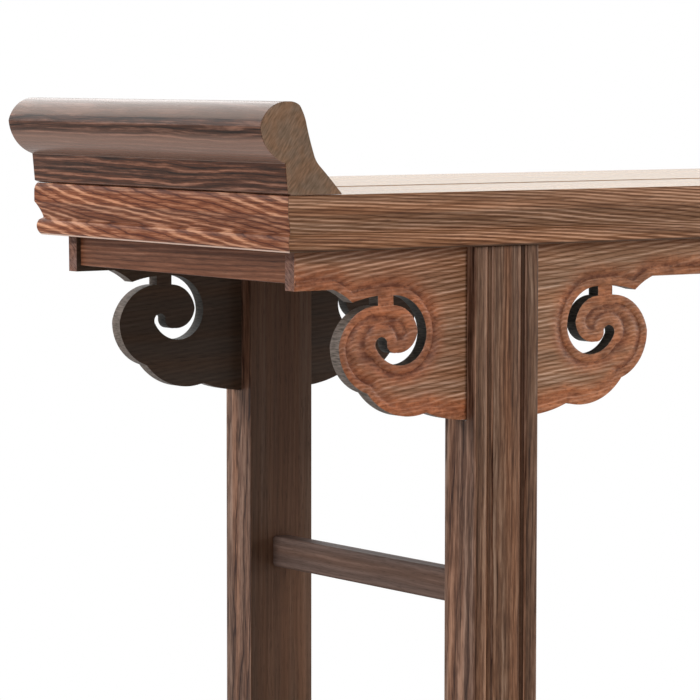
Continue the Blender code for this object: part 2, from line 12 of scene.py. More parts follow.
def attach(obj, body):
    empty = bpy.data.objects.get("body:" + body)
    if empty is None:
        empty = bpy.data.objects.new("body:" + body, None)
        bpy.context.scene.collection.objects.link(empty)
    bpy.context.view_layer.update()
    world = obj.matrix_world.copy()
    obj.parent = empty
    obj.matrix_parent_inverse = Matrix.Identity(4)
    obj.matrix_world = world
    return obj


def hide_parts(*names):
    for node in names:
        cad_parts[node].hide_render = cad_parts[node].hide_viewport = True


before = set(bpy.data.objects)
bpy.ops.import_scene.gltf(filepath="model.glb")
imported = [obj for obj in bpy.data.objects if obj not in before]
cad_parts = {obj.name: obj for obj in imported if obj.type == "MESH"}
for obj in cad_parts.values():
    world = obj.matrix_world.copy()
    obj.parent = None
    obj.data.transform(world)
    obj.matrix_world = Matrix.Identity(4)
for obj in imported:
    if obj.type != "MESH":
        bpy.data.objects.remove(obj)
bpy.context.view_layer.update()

# Legs: four posts of striped hardwood, moulded on the outer face with a bead at each edge.
# The top of each is forked, so that it clips over a long apron and stops under the rail.
# The section is run up the post by a node tree, and the fork is cut out of it.
LEG_X = 0.320
LEG_SIDES = (("left", -LEG_X), ("right", LEG_X))
LEG_WIDTH = 0.053
LEG_FRONT = -0.1485
LEG_DEPTH = 0.0335
LEG_TOP = 0.4237
FORK_FRONT = -0.1383
FORK_BACK = -0.1272
FORK_FLOOR = 0.3094
EDGE_BEAD_WIDTH = 0.0100
EDGE_BEAD_ROUND = 0.0030
GROOVE_WIDTH = 0.0054
GROOVE_DEPTH = 0.0032
GROOVE_OUT = LEG_WIDTH / 2 - EDGE_BEAD_WIDTH
GROOVE_IN = GROOVE_OUT - GROOVE_WIDTH
CROWN = 0.0008
LEG_STEP = 0.0006
ARRIS = 0.0006
ARRIS_STEPS = 3
HARD_ANGLE = 48.0
SMOOTH_ANGLE = 32.0
TINY = 1e-12
MERGE_GAP = 1e-6
BUMP_DEPTH = 0.0003


def line_points(start, end, step):
    """Points evenly along a line, about one step apart, with both its ends."""
    count = max(1, round(math.dist(start, end) / step))
    return [(start[0] + (end[0] - start[0]) * n / count, start[1] + (end[1] - start[1]) * n / count)
            for n in range(count + 1)]


def arc(start, via, end, step):
    """Points after start up to end on the circle through three points, about one step apart."""
    ax, ay = start
    bx, by = via
    cx, cy = end
    turn = 2 * (ax * (by - cy) + bx * (cy - ay) + cx * (ay - by))
    if abs(turn) < TINY:
        return line_points(start, end, step)[1:]
    a2 = ax * ax + ay * ay
    b2 = bx * bx + by * by
    c2 = cx * cx + cy * cy
    mid_x = (a2 * (by - cy) + b2 * (cy - ay) + c2 * (ay - by)) / turn
    mid_y = (a2 * (cx - bx) + b2 * (ax - cx) + c2 * (bx - ax)) / turn
    radius = math.hypot(ax - mid_x, ay - mid_y)
    first = math.atan2(ay - mid_y, ax - mid_x)
    sweep = math.atan2(cy - mid_y, cx - mid_x) - first
    if turn > 0 and sweep < 0:
        sweep += 2 * math.pi
    if turn < 0 and sweep > 0:
        sweep -= 2 * math.pi
    count = max(2, math.ceil(abs(sweep) * radius / step))
    angles = [first + sweep * n / count for n in range(1, count)]
    points = [(mid_x + radius * math.cos(angle), mid_y + radius * math.sin(angle)) for angle in angles]
    return points + [end]


def arc_path(start, arcs, step):
    """Points of a chain of arcs, with the start point."""
    points = [start]
    for via, end in arcs:
        points += arc(points[-1], via, end, step)
    return points


def feed(tree, node, inputs):
    """Set each input of a node to its value, or link it to its socket."""
    for socket, value in dict(inputs).items():
        if isinstance(value, bpy.types.NodeSocket):
            tree.links.new(value, node.inputs[socket])
        else:
            node.inputs[socket].default_value = value


def add_node(tree, kind, inputs=(), **settings):
    """A new node with its settings and its inputs."""
    made = tree.nodes.new(kind)
    for key, value in settings.items():
        setattr(made, key, value)
    feed(tree, made, inputs)
    return made


def maths(tree, operation, *values, clamp=False):
    """The result of a Math node."""
    made = add_node(tree, "ShaderNodeMath", enumerate(values), operation=operation, use_clamp=clamp)
    return made.outputs[0]


def vectors(tree, operation, *values):
    """The result of a Vector Math node: a number for a dot product or a length, else a vector."""
    made = add_node(tree, "ShaderNodeVectorMath", enumerate(values), operation=operation)
    return made.outputs["Value" if operation in ("DOT_PRODUCT", "LENGTH") else "Vector"]


def new_tree(name, sockets):
    """A geometry node tree with named inputs and one result, and the sockets of its inputs."""
    tree = bpy.data.node_groups.new(name, "GeometryNodeTree")
    for socket, kind in sockets.items():
        tree.interface.new_socket(socket, in_out="INPUT", socket_type=f"NodeSocket{kind}")
    tree.interface.new_socket("Piece", in_out="OUTPUT", socket_type="NodeSocketGeometry")
    return tree, add_node(tree, "NodeGroupInput").outputs


def end_tree(tree, geometry, wood):
    """Close a node tree: plain geometry in one wood."""
    real = add_node(tree, "GeometryNodeRealizeInstances", {"Geometry": geometry}).outputs[0]
    dressed = add_node(tree, "GeometryNodeSetMaterial", {"Geometry": real, "Material": wood})
    add_node(tree, "NodeGroupOutput", {"Piece": dressed.outputs[0]})


def moulded_run_tree():
    """A node tree that runs a flat section along a line, mitres its ends and puts it in place."""
    tree, given = new_tree("moulded run", {
        "Section": "Geometry", "Run": "Vector", "Mitre": "Float",
        "Turn": "Rotation", "Place": "Vector", "Wood": "Material",
    })
    run = add_node(
        tree, "GeometryNodeExtrudeMesh",
        {"Mesh": given["Section"], "Offset": given["Run"], "Individual": False}, mode="FACES",
    )
    start_face = add_node(tree, "GeometryNodeFlipFaces", {"Mesh": given["Section"]})
    joined = add_node(tree, "GeometryNodeJoinGeometry")
    for part in (start_face.outputs[0], run.outputs["Mesh"]):
        tree.links.new(part, joined.inputs[0])
    closed = add_node(
        tree, "GeometryNodeMergeByDistance", {"Geometry": joined.outputs[0], "Distance": MERGE_GAP},
    ).outputs[0]
    position = add_node(tree, "GeometryNodeInputPosition").outputs[0]
    spot = add_node(tree, "ShaderNodeSeparateXYZ", {0: position}).outputs
    inset = maths(tree, "MULTIPLY", spot["Y"], given["Mitre"])
    pull = maths(tree, "MULTIPLY", inset, maths(tree, "SIGN", spot["X"]))
    shift = add_node(tree, "ShaderNodeCombineXYZ", {"X": maths(tree, "MULTIPLY", pull, -1.0)}).outputs[0]
    mitred = add_node(tree, "GeometryNodeSetPosition", {"Geometry": closed, "Offset": shift}).outputs[0]
    placed = add_node(
        tree, "GeometryNodeTransform",
        {"Geometry": mitred, "Rotation": given["Turn"], "Translation": given["Place"]},
    )
    end_tree(tree, placed.outputs[0], given["Wood"])
    return tree


MOULDED_RUN = moulded_run_tree()


def run_nodes(piece, tree, values):
    """Put a node tree on a piece and set its named inputs, each by its socket's identifier."""
    modifier = piece.modifiers.new(tree.name, "NODES")
    modifier.node_group = tree
    for socket in tree.interface.items_tree:
        if socket.in_out == "INPUT" and socket.name in values:
            modifier[socket.identifier] = values[socket.name]


def bake(piece):
    """Turn a piece's modifiers into a plain mesh."""
    bpy.context.view_layer.update()
    evaluated = piece.evaluated_get(bpy.context.evaluated_depsgraph_get())
    mesh = bpy.data.meshes.new_from_object(evaluated)
    piece.modifiers.clear()
    piece.data = mesh
    mesh.name = piece.name


def plain_mesh(piece, smooth_angle=SMOOTH_ANGLE):
    """Bake a piece and shade it smooth between its sharp edges, with its flat faces kept flat."""
    bake(piece)
    piece.data.shade_smooth()
    piece.data.set_sharp_from_angle(angle=math.radians(smooth_angle))
    weighted = piece.modifiers.new("flat faces", "WEIGHTED_NORMAL")
    weighted.keep_sharp = True
    bake(piece)


def ease_edges(piece, width):
    """A small round on the hard arrises of a piece."""
    bevel = piece.modifiers.new("eased arrises", "BEVEL")
    bevel.width = width
    bevel.segments = ARRIS_STEPS
    bevel.limit_method = "ANGLE"
    bevel.angle_limit = math.radians(HARD_ANGLE)


def new_object(name, data):
    """A new object of the scene, at the origin."""
    made = bpy.data.objects.new(name, data)
    bpy.context.scene.collection.objects.link(made)
    return made


def mesh_piece(name, vertices, faces):
    """A new object at the origin from vertices and faces, with its faces turned outwards."""
    mesh = bpy.data.meshes.new(name)
    mesh.from_pydata(vertices, [], faces)
    shape = bmesh.new()
    shape.from_mesh(mesh)
    bmesh.ops.recalc_face_normals(shape, faces=shape.faces[:])
    shape.to_mesh(mesh)
    shape.free()
    return new_object(name, mesh)


def box_piece(name, low, high):
    """A box between two corners, as an object."""
    corners = [(x, y, z) for x in (low[0], high[0]) for y in (low[1], high[1]) for z in (low[2], high[2])]
    faces = [(0, 1, 3, 2), (4, 6, 7, 5), (0, 4, 5, 1), (2, 3, 7, 6), (0, 2, 6, 4), (1, 5, 7, 3)]
    return mesh_piece(name, corners, faces)


def moulded_piece(name, section, run, wood, mitre=0.0, turn=0.0, place=(0.0, 0.0, 0.0), cut=None,
                  ease=ARRIS, smooth_angle=SMOOTH_ANGLE):
    """A piece made by running its section along a line; cut is the box that its fork leaves out."""
    mesh = bpy.data.meshes.new(name)
    mesh.from_pydata(section, [], [tuple(range(len(section)))])
    piece = new_object(name, mesh)
    values = {"Run": run, "Mitre": mitre, "Turn": (0.0, 0.0, turn), "Place": place, "Wood": wood}
    run_nodes(piece, MOULDED_RUN, values)
    if cut is not None:
        fork = box_piece("fork", *cut)
        cutter = piece.modifiers.new("fork", "BOOLEAN")
        cutter.operation = "DIFFERENCE"
        cutter.solver = "EXACT"
        cutter.object = fork
    ease_edges(piece, ease)
    plain_mesh(piece, smooth_angle)
    if cut is not None:
        bpy.data.objects.remove(fork)
    return piece


def mark(piece, name, values):
    """Keep one number for each vertex of a piece, which its wood reads."""
    layer = piece.data.attributes.new(name, "FLOAT", "POINT")
    layer.data.foreach_set("value", values.astype(np.float32))


def settle(piece, slot, *nodes):
    """Fix a finished piece to the table and hide the solids that it stands for; slot is not used."""
    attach(piece, "root")
    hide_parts(*nodes)


def new_material(name):
    """A new material, its node tree, its shader and its Object coordinates."""
    material = bpy.data.materials.new(name)
    material.use_nodes = True
    tree = material.node_tree
    spot = add_node(tree, "ShaderNodeTexCoord").outputs["Object"]
    return material, tree, tree.nodes["Principled BSDF"], spot


def noise_at(tree, place, detail=2.0, roughness=0.5):
    """Smooth noise at a place, from 0 to 1, about one unit across."""
    values = {"Vector": place, "Scale": 1.0, "Detail": detail, "Roughness": roughness}
    return add_node(tree, "ShaderNodeTexNoise", values).outputs["Fac"]


def finish_wood(tree, shader, colour, rough, specular, height, relief):
    """Give a wood's shader its colour, its gloss and the bump of its figure."""
    bump = add_node(tree, "ShaderNodeBump", {"Height": height, "Strength": relief, "Distance": BUMP_DEPTH})
    feed(tree, shader, {
        "Base Color": colour, "Roughness": rough, "Specular IOR Level": specular, "Normal": bump.outputs[0],
    })


GRAIN_TURNS = {"X": (0.0, 0.0, 0.0), "Y": (0.0, 0.0, -math.pi / 2), "Z": (0.0, math.pi / 2, 0.0)}
OLIVE_END = ((0.102, 0.060, 0.034), (0.184, 0.112, 0.071))

# noise in the wood: how often it comes in a metre along and across the grain, its detail and roughness,
# and for most the noise values that it runs between and what they become
SWAY = (6.0, 22.0)
SLOW_BEND = (2.2, 9.0)
RIPPLE = (15.0, 65.0)
FINE_RIPPLE = (55.0, 300.0)
STREAKS = ((9.0, 330.0, 3.0, 0.65), (0.34, 0.62, 0.30, 1.0, "SMOOTHSTEP"))
FIBRES = ((24.0, 850.0, 2.0, 0.6), (0.28, 0.72, -1.0, 1.0))
LOOSE_STREAKS = ((2.4, 215.0, 3.0, 0.6), (0.30, 0.70, -1.0, 1.0))
FLECKS = ((48.0, 400.0, 3.0, 0.7), (0.34, 0.66, -1.0, 1.0))
BLOTCHES = ((90.0, 160.0, 3.0, 0.6), (0.30, 0.70))
NICKS = ((330.0, 750.0), (0.52, 0.66, 1.0, 0.35))
BROKEN_SHADE = ((170.0, 260.0, 3.0, 0.65), (0.36, 0.58))
TONE_DRIFT = ((3.0, 26.0), (0.28, 0.72, 0.84, 1.16))
PORES = ((120.0, 1900.0, 1.0), (0.58, 0.70, 1.0, 0.70))
WARMTH_DRIFT = ((2.5, 95.0), (0.38, 0.62))

# how far red, green and blue shift in warm and in cool wood
WARM_SHIFT = (1.0, -1 / 3, -1.5)
COOL_SHIFT = (-1.0, 0.0, 1.0)

# where a pale and a dark line lie in each sheet, how strong they are, and what they weigh in the figure
PALE_LINE = (0.27, 0.05)
DARK_LINE = (0.33, 0.50)
PALE_STRENGTH = (0.15, 1.0)
DARK_STRENGTH = (1.0, 0.25)
FINE_SHARE = 0.4
PALE_WEIGHT = 0.55
DARK_WEIGHT = -0.40
LOOSE_WEIGHT = 0.34
EVEN_LOSS = 0.65
GROUND = 0.42
MIDDLE_STOP = 0.45

# where a surface counts as cut across or as a top, and how the gloss and the bump change there
CUT_ACROSS = (0.70, 0.92)
TOP_SLOPES = (0.90, 0.99)
STROKE_NOISE = (0.30, 0.70)
END_DULLNESS = 0.25
DARK_DULLNESS = 0.05
PALE_GLOSS = 0.03
END_RELIEF = 0.06
TOP_RELIEF = 0.05


def striped_wood(name, grain, tones, sheet, spacing, lean=0.0, bend=5.0, ripple=0.6, contrast=1.0,
                 streaky=0.0, fibres=0.22, flecks=0.0, sway=0.0, hue=0.06, rough=0.40, specular=0.12,
                 relief=0.20, rubbed=0.2, bloom=None, carved=None, hollow=None, under=None, over=None,
                 lit_middle=None, end=OLIVE_END, strokes=(2.5, 150.0), start=(0.0, 0.0, 0.0)):
    """Oiled striped hardwood: thin pale and dark growth sheets through the whole board.

    grain is the board's long axis, tones the dark, middle and pale colours, sheet the direction across the
    sheets, spacing their distance in metres, lean their slope along the grain. streaky trades even sheets
    for loose streaks, flecks breaks them up, sway is how far the grain wanders in metres, hue how far the
    warmth does, rubbed the share of roughness left on top, bloom the share, roughness and tint of a waxy
    haze. carved is the dark and pale tone and the share of carved work, hollow the tone that grooves and
    hollows darken to by their depth and its least and greatest share; in the legs' grooves it is painted
    shade.
    under and over are painted light on an underside and on an upper side: its tone, the slopes between
    which it comes in, and its share. lit_middle is painted light: the distances from the board's middle
    between which it fades out, and the gain of each colour there. end is the dark and pale end grain,
    strokes how close its strokes lie across and beside, start the place in the log that the board is cut
    from.
    strokes lie across and beside, start the place in the log that the board is cut from.
    """
    material, tree, shader, spot = new_material(name)
    board = add_node(
        tree, "ShaderNodeMapping", {"Vector": spot, "Rotation": GRAIN_TURNS[grain], "Location": start},
    ).outputs[0]

    def noise(along, across, *fineness):
        return noise_at(tree, vectors(tree, "MULTIPLY", board, (along, across, across)), *fineness)

    def ranged(value, low, high, to_low=0.0, to_high=1.0, kind="LINEAR"):
        values = {"Value": value, "From Min": low, "From Max": high, "To Min": to_low, "To Max": to_high}
        return add_node(tree, "ShaderNodeMapRange", values, interpolation_type=kind).outputs[0]

    def pattern(kind, *becomes):
        return ranged(noise(*kind[0]), *kind[1], *becomes)

    def times(first, second):
        return maths(tree, "MULTIPLY", first, second)

    def plus(base, value, weight):
        return maths(tree, "MULTIPLY_ADD", value, weight, base)

    def tinted(colour, gain):
        return vectors(tree, "MULTIPLY", colour, gain)

    def mixed(amount, first, second):
        values = {0: amount, 6: first, 7: second}
        return add_node(tree, "ShaderNodeMix", values, data_type="RGBA").outputs[2]

    def marked(attribute):
        return add_node(tree, "ShaderNodeAttribute", attribute_name=attribute).outputs["Fac"]

    if sway:
        aside = plus(-sway, noise(*SWAY), 2 * sway)
        shift = add_node(tree, "ShaderNodeCombineXYZ", {"Y": aside, "Z": aside}).outputs[0]
        board = vectors(tree, "ADD", board, shift)

    # the sheets, bent slowly along the board and rippled finely; each has its own strength
    across = vectors(tree, "DOT_PRODUCT", board, (lean / spacing, sheet[0] / spacing, sheet[1] / spacing))
    phase = plus(across, noise(*SLOW_BEND), bend)
    phase = plus(phase, noise(*RIPPLE), ripple)
    phase = plus(phase, noise(*FINE_RIPPLE), ripple * FINE_SHARE)
    number = maths(tree, "FLOOR", phase)
    from_line = maths(tree, "ABSOLUTE", maths(tree, "SUBTRACT", maths(tree, "FRACT", phase), 0.5))
    strength = add_node(tree, "ShaderNodeTexWhiteNoise", {"W": number}, noise_dimensions="1D")
    strength = strength.outputs["Value"]

    # pale and dark lines, broken along the grain, and fine fibres between them
    pale = ranged(from_line, *PALE_LINE, kind="SMOOTHSTEP")
    pale = times(pale, ranged(strength, 0.0, 1.0, *PALE_STRENGTH))
    pale = times(pale, pattern(STREAKS))
    dark = ranged(from_line, *DARK_LINE, kind="SMOOTHSTEP")
    dark = times(dark, ranged(strength, 0.0, 1.0, *DARK_STRENGTH))
    even = contrast * (1.0 - EVEN_LOSS * streaky)
    figure = plus(GROUND, pale, PALE_WEIGHT * even)
    figure = plus(figure, dark, DARK_WEIGHT * even)
    figure = plus(figure, pattern(LOOSE_STREAKS), LOOSE_WEIGHT * streaky * contrast)
    if flecks:
        figure = plus(figure, pattern(FLECKS), flecks * contrast)
    figure = maths(tree, "MULTIPLY_ADD", pattern(FIBRES), fibres * contrast, figure, clamp=True)
    ramp = add_node(tree, "ShaderNodeValToRGB", {"Fac": figure})
    ramp.color_ramp.elements.new(MIDDLE_STOP)
    for stop, tone in zip(ramp.color_ramp.elements, tones):
        stop.color = (*tone, 1.0)
    colour = ramp.outputs["Color"]

    # carved work, grooves and hollows darkened by their depth (painted shade in the legs' grooves), and
    # painted light brightening the middle of the board
    if carved is not None:
        blotch = times(pattern(BLOTCHES), pattern(NICKS))
        smooth_tone = mixed(blotch, (*carved[0], 1.0), (*carved[1], 1.0))
        colour = mixed(times(marked("carved"), carved[2]), colour, smooth_tone)
    if hollow is not None:
        shaded = times(marked("hollow"), pattern(BROKEN_SHADE, hollow[1], hollow[2]))
        colour = mixed(shaded, colour, (*hollow[0], 1.0))
    if lit_middle is not None:
        inner, outer, gain = lit_middle
        along_board = add_node(tree, "ShaderNodeSeparateXYZ", {0: board}).outputs["X"]
        outwards = ranged(maths(tree, "ABSOLUTE", along_board), inner, outer)
        colour = tinted(colour, mixed(outwards, (*gain, 1.0), (1.0, 1.0, 1.0, 1.0)))

    # broad drift of tone and warmth, and fine dark pores
    drift = pattern(TONE_DRIFT)
    shifts = [(*(1.0 + hue * part for part in shift), 1.0) for shift in (WARM_SHIFT, COOL_SHIFT)]
    warmth = mixed(pattern(WARMTH_DRIFT), *shifts)
    toned = tinted(tinted(colour, times(drift, pattern(PORES))), warmth)

    # painted light by slope: painted shade or a painted reflection on an underside, a painted highlight on
    # an upper side
    normal = add_node(tree, "ShaderNodeNewGeometry").outputs["True Normal"]
    facing = add_node(tree, "ShaderNodeSeparateXYZ", {0: normal}).outputs
    slope = facing["Z"]
    for painted_light in (under, over):
        if painted_light is not None:
            painted_tone, painted_first, painted_full, painted_share = painted_light
            painted_amount = ranged(slope, painted_first, painted_full, 0.0, painted_share, "SMOOTHSTEP")
            toned = mixed(painted_amount, toned, (*painted_tone, 1.0))

    # end grain where the surface cuts across the board
    cut_across = ranged(maths(tree, "ABSOLUTE", facing[grain]), *CUT_ACROSS)
    beside = vectors(tree, "DOT_PRODUCT", board, (0.0, -sheet[1], sheet[0]))
    places = {"X": times(across, strokes[0]), "Y": times(beside, strokes[1])}
    stroke_place = add_node(tree, "ShaderNodeCombineXYZ", places).outputs[0]
    stroke_tone = ranged(noise_at(tree, stroke_place), *STROKE_NOISE)
    end_tone = mixed(stroke_tone, (*end[0], 1.0), (*end[1], 1.0))
    end_tone = tinted(tinted(end_tone, warmth), drift)
    toned = mixed(cut_across, toned, end_tone)

    # satin all over, duller on end grain and rubbed smooth on what faces up
    worn = ranged(slope, *TOP_SLOPES)
    satin = ranged(figure, 0.0, 1.0, rough + DARK_DULLNESS, rough - PALE_GLOSS)
    satin = plus(satin, cut_across, END_DULLNESS)
    satin = times(satin, ranged(worn, 0.0, 1.0, 1.0, rubbed))
    tooth = ranged(cut_across, 0.0, 1.0, relief, END_RELIEF)
    tooth = times(tooth, ranged(worn, 0.0, 1.0, 1.0, TOP_RELIEF))
    finish_wood(tree, shader, toned, satin, specular, figure, tooth)
    if bloom is not None:
        share, haze, tint = bloom
        feed(tree, shader, {"Sheen Weight": share, "Sheen Roughness": haze, "Sheen Tint": (*tint, 1.0)})
    return material


LEG_TONES = ((0.028, 0.011, 0.005), (0.120, 0.057, 0.031), (0.280, 0.168, 0.108))
LEG_SIDE_TONES = ((0.028, 0.011, 0.007), (0.140, 0.070, 0.044), (0.340, 0.202, 0.140))
# a plainer, slightly darker copy of the leg's wood for the faces turned into the table, as painted shade
LEG_SHADED_INNER_TONES = ((0.055, 0.027, 0.015), (0.117, 0.061, 0.037), (0.215, 0.130, 0.088))
# painted shade in the legs' grooves: its tone, its least and greatest share, the part of it that the groove
# on the lit side keeps, and how fast it comes in with depth
GROOVE_SHADE = ((0.028, 0.009, 0.002), 0.80, 0.96)
LIT_SIDE_GROOVE_SHADE = 0.28
GROOVE_GAIN = 2.4
LEG_START = (0.0, 0.013, 0.0)
SIDE_SLOPE = 0.75
leg_wood = striped_wood(
    "leg_wood", "Z", LEG_TONES, sheet=(0.62, 0.78), lean=0.010, spacing=0.0029, bend=6.0, ripple=1.1,
    contrast=1.05, streaky=0.75, flecks=0.13, sway=0.003, hue=0.08, hollow=GROOVE_SHADE, start=LEG_START,
)
leg_side_wood = striped_wood(
    "leg_side_wood", "Z", LEG_SIDE_TONES, sheet=(0.82, 0.57), lean=0.030, spacing=0.0085, bend=6.0,
    ripple=1.3, contrast=1.45, streaky=0.45, fibres=0.18, flecks=0.12, sway=0.004, hue=0.08,
)
leg_shaded_inner_wood = striped_wood(
    "leg_shaded_inner_wood", "Z", LEG_SHADED_INNER_TONES, sheet=(0.62, 0.78), lean=0.010, spacing=0.0034, bend=6.0,
    contrast=0.5, streaky=0.75,
)


def leg_section():
    """Half of the leg's section as (out from the middle, back from the face), middle to side."""
    half = LEG_WIDTH / 2
    bead_middle = half - EDGE_BEAD_WIDTH / 2
    section = [(0.0, 0.0)]
    section += arc(section[-1], (GROOVE_IN / 2, CROWN / 4), (GROOVE_IN, CROWN), LEG_STEP * 3)
    section += arc(section[-1], (GROOVE_IN + GROOVE_WIDTH / 2, GROOVE_DEPTH), (GROOVE_OUT, CROWN), LEG_STEP)
    section += arc(section[-1], ((GROOVE_OUT + bead_middle) / 2, CROWN / 4), (bead_middle, 0.0), LEG_STEP)
    section.append((half - EDGE_BEAD_ROUND, 0.0))
    turn = EDGE_BEAD_ROUND * (1 - math.sqrt(0.5))
    section += arc(section[-1], (half - turn, turn), (half, EDGE_BEAD_ROUND), LEG_STEP)
    section.append((half, LEG_DEPTH))
    return section


def shade_grooves(leg, place_x, facing):
    """Mark how deep each point of a leg lies in its grooves, as a share of painted shade, smaller in the
    groove on the lit side; facing is 1 in front and -1 at the back.
    """
    spots = np.array([vertex.co for vertex in leg.data.vertices])
    out = facing * (spots[:, 0] - place_x)
    shade = np.where(out < 0, LIT_SIDE_GROOVE_SHADE, 1.0)
    out = np.abs(out)
    depth = facing * spots[:, 1] - LEG_FRONT
    within = (out < GROOVE_OUT + CROWN) & (out > GROOVE_IN - CROWN) & (depth <= GROOVE_DEPTH)
    share = np.clip((depth - CROWN) / (GROOVE_DEPTH - CROWN) * GROOVE_GAIN, 0, 1)
    mark(leg, "hollow", share * within * shade)


half_leg = leg_section()
whole_leg = half_leg + [(-out, back) for out, back in reversed(half_leg[1:])]
leg_ring = [(out, LEG_FRONT + back, 0.0) for out, back in whole_leg]
for row, facing, turn, fork_low, fork_high in (
    ("front", 1, 0.0, FORK_FRONT, FORK_BACK),
    ("rear", -1, math.pi, -FORK_BACK, -FORK_FRONT),
):
    for side, place_x in LEG_SIDES:
        fork_start = (place_x - LEG_WIDTH, fork_low, FORK_FLOOR)
        fork_end = (place_x + LEG_WIDTH, fork_high, LEG_TOP * 2)
        leg = moulded_piece(
            f"{row}_{side}_moulded_leg", leg_ring, (0.0, 0.0, LEG_TOP), leg_wood,
            turn=turn, place=(place_x, 0.0, 0.0), cut=(fork_start, fork_end),
        )
        shade_grooves(leg, place_x, facing)
        side_slot = len(leg.data.materials)
        leg.data.materials.append(leg_side_wood)
        leg.data.materials.append(leg_shaded_inner_wood)
        for face in leg.data.polygons:
            if abs(face.normal.x) > SIDE_SLOPE:
                face.material_index = side_slot
            # the faces turned into the table take the darker copy of the wood, painted shade
            elif facing * face.normal.y > SIDE_SLOPE:
                face.material_index = side_slot + 1
        settle(leg, "leg", f"{row}_{side}_leg")

# Stretchers: one slim bar with eased edges between the two legs of each end.
# It is tenoned into their inner faces, from the same striped hardwood.
STRETCHER_TOP = 0.204
STRETCHER_WIDTH = 0.015
STRETCHER_HEIGHT = 0.022
STRETCHER_ROUND = 0.0025
ROUND_STEPS = 6
STRETCHER_REACH = 0.1148
STRETCHER_TONES = ((0.070, 0.038, 0.026), (0.120, 0.073, 0.056), (0.200, 0.130, 0.105))
stretcher_wood = striped_wood(
    "stretcher_wood", "Y", STRETCHER_TONES, sheet=(0.5, 0.87), spacing=0.0045, contrast=0.7, rough=0.55,
    rubbed=0.9,
)

stretcher_ring = []
half_width = STRETCHER_WIDTH / 2 - STRETCHER_ROUND
half_height = STRETCHER_HEIGHT / 2 - STRETCHER_ROUND
middle_z = STRETCHER_TOP - STRETCHER_HEIGHT / 2
for number, (side_x, side_z) in enumerate(((1, 1), (-1, 1), (-1, -1), (1, -1))):
    for step in range(ROUND_STEPS + 1):
        angle = math.pi / 2 * (number + step / ROUND_STEPS)
        ring_x = side_x * half_width + STRETCHER_ROUND * math.cos(angle)
        ring_z = middle_z + side_z * half_height + STRETCHER_ROUND * math.sin(angle)
        stretcher_ring.append((ring_x, -STRETCHER_REACH, ring_z))
for side, place_x in LEG_SIDES:
    stretcher = moulded_piece(
        f"{side}_end_stretcher", stretcher_ring, (0.0, 2 * STRETCHER_REACH, 0.0), stretcher_wood,
        place=(place_x, 0.0, 0.0), ease=ARRIS / 2,
    )
    settle(stretcher, "stretcher", f"{side}_stretcher")

# Long aprons: one board of striped hardwood each, sawn into cloud scrolls on either side of both legs.
# The outer face is carved: a rounded rim follows every edge, then a groove, and a cove up to the ground.
# The legs' forks hold the board, and its top edge is let into the rail above.
APRON_END = 0.483
APRON_FRONT = -0.138
APRON_BACK = -0.1275
APRON_TOP = 0.428
APRON_EDGE = 0.3988
TOE_DROP = 0.0891
TOE_SWELL = 0.0015
COVE_START = 0.1328
SPANDREL_ARCS = (
    ((0.1262, 0.0030), (0.1177, 0.0088)),
    ((0.1076, 0.0064), (0.0975, 0.0051)),
    ((0.0975, 0.0083), (0.0975, 0.0115)),
    ((0.1162, 0.0174), (0.1283, 0.0364)),
    ((0.1234, 0.0543), (0.1060, 0.0678)),
    ((0.0895, 0.0806), (0.0586, 0.0826)),
)
ARCS_TO_LOBE = 5
SLOT_START = (0.0852, 0.0052)
SLOT_ARCS = (
    ((0.0672, 0.0120), (0.0586, 0.0298)),
    ((0.0632, 0.0433), (0.0768, 0.0508)),
    ((0.0912, 0.0473), (0.0993, 0.0382)),
    ((0.0953, 0.0319), (0.0902, 0.0350)),
    ((0.0890, 0.0403), (0.0830, 0.0426)),
    ((0.0714, 0.0393), (0.0658, 0.0288)),
    ((0.0718, 0.0172), (0.0852, 0.0116)),
)
ARCS_TO_HEAD = 3
RIM_WIDTH = 0.0048
RIM_DROP = 0.0005
GROOVE_PLACE = 0.0058
HEAD_STRETCH = 1.5
CARVED_DEPTH = 0.0012
BRIDGE_DEPTH = 0.0010
BRIDGE_STRETCH = (1.0, 1.2)
BRIDGE_SHADE = 0.2
CARVED_REACH = 0.0125
WORKED_FULL = 0.0090
WORKED_REACH = 0.0170
WORKED_ARRIS = 0.6
LOBE_FORCE = 0.35
EDGE_STEP = 0.0011
STRAIGHT_STEP = 0.003
RELIEF_LEVELS = (0.0005, 0.0011, 0.0019, 0.0028, 0.0037, 0.0044, 0.0050, 0.0057, 0.0064, 0.0073)
GRID_STEP = 0.0014
GRID_STOP = 0.005
FACE_LAP = 0.004
TOP_MARGIN = 0.003
RUN_OUT = 0.020
PLAIN_START = 0.016
PLAIN_MARGIN = 0.0015
POINT_CELL = 0.0006
POINT_CLEARANCE = 0.0003
# stands in for the distance of a point on the bridge from an edge
ON_BRIDGE = -1.0
BATCH = 1500
TINY_SQUARE = 1e-18
FILL_INSIDE = 1
FILL_GAP = 1e-9
BACK_SLOPE = 0.9
APRON_SMOOTH_ANGLE = 40.0
CARVED_TONES = ((0.115, 0.028, 0.010), (0.400, 0.136, 0.060), 0.66)
CARVED_HOLLOW = ((0.060, 0.014, 0.006), 0.26, 0.82)
# painted light: the long aprons are brightened between the legs, each colour by its gain
LIT_MIDDLE_GAIN = (0.25, 0.38, (1.10, 1.19, 1.20))
REDDISH_END = ((0.070, 0.032, 0.023), (0.270, 0.150, 0.115))
APRON_TONES = ((0.090, 0.034, 0.012), (0.215, 0.100, 0.053), (0.440, 0.255, 0.170))
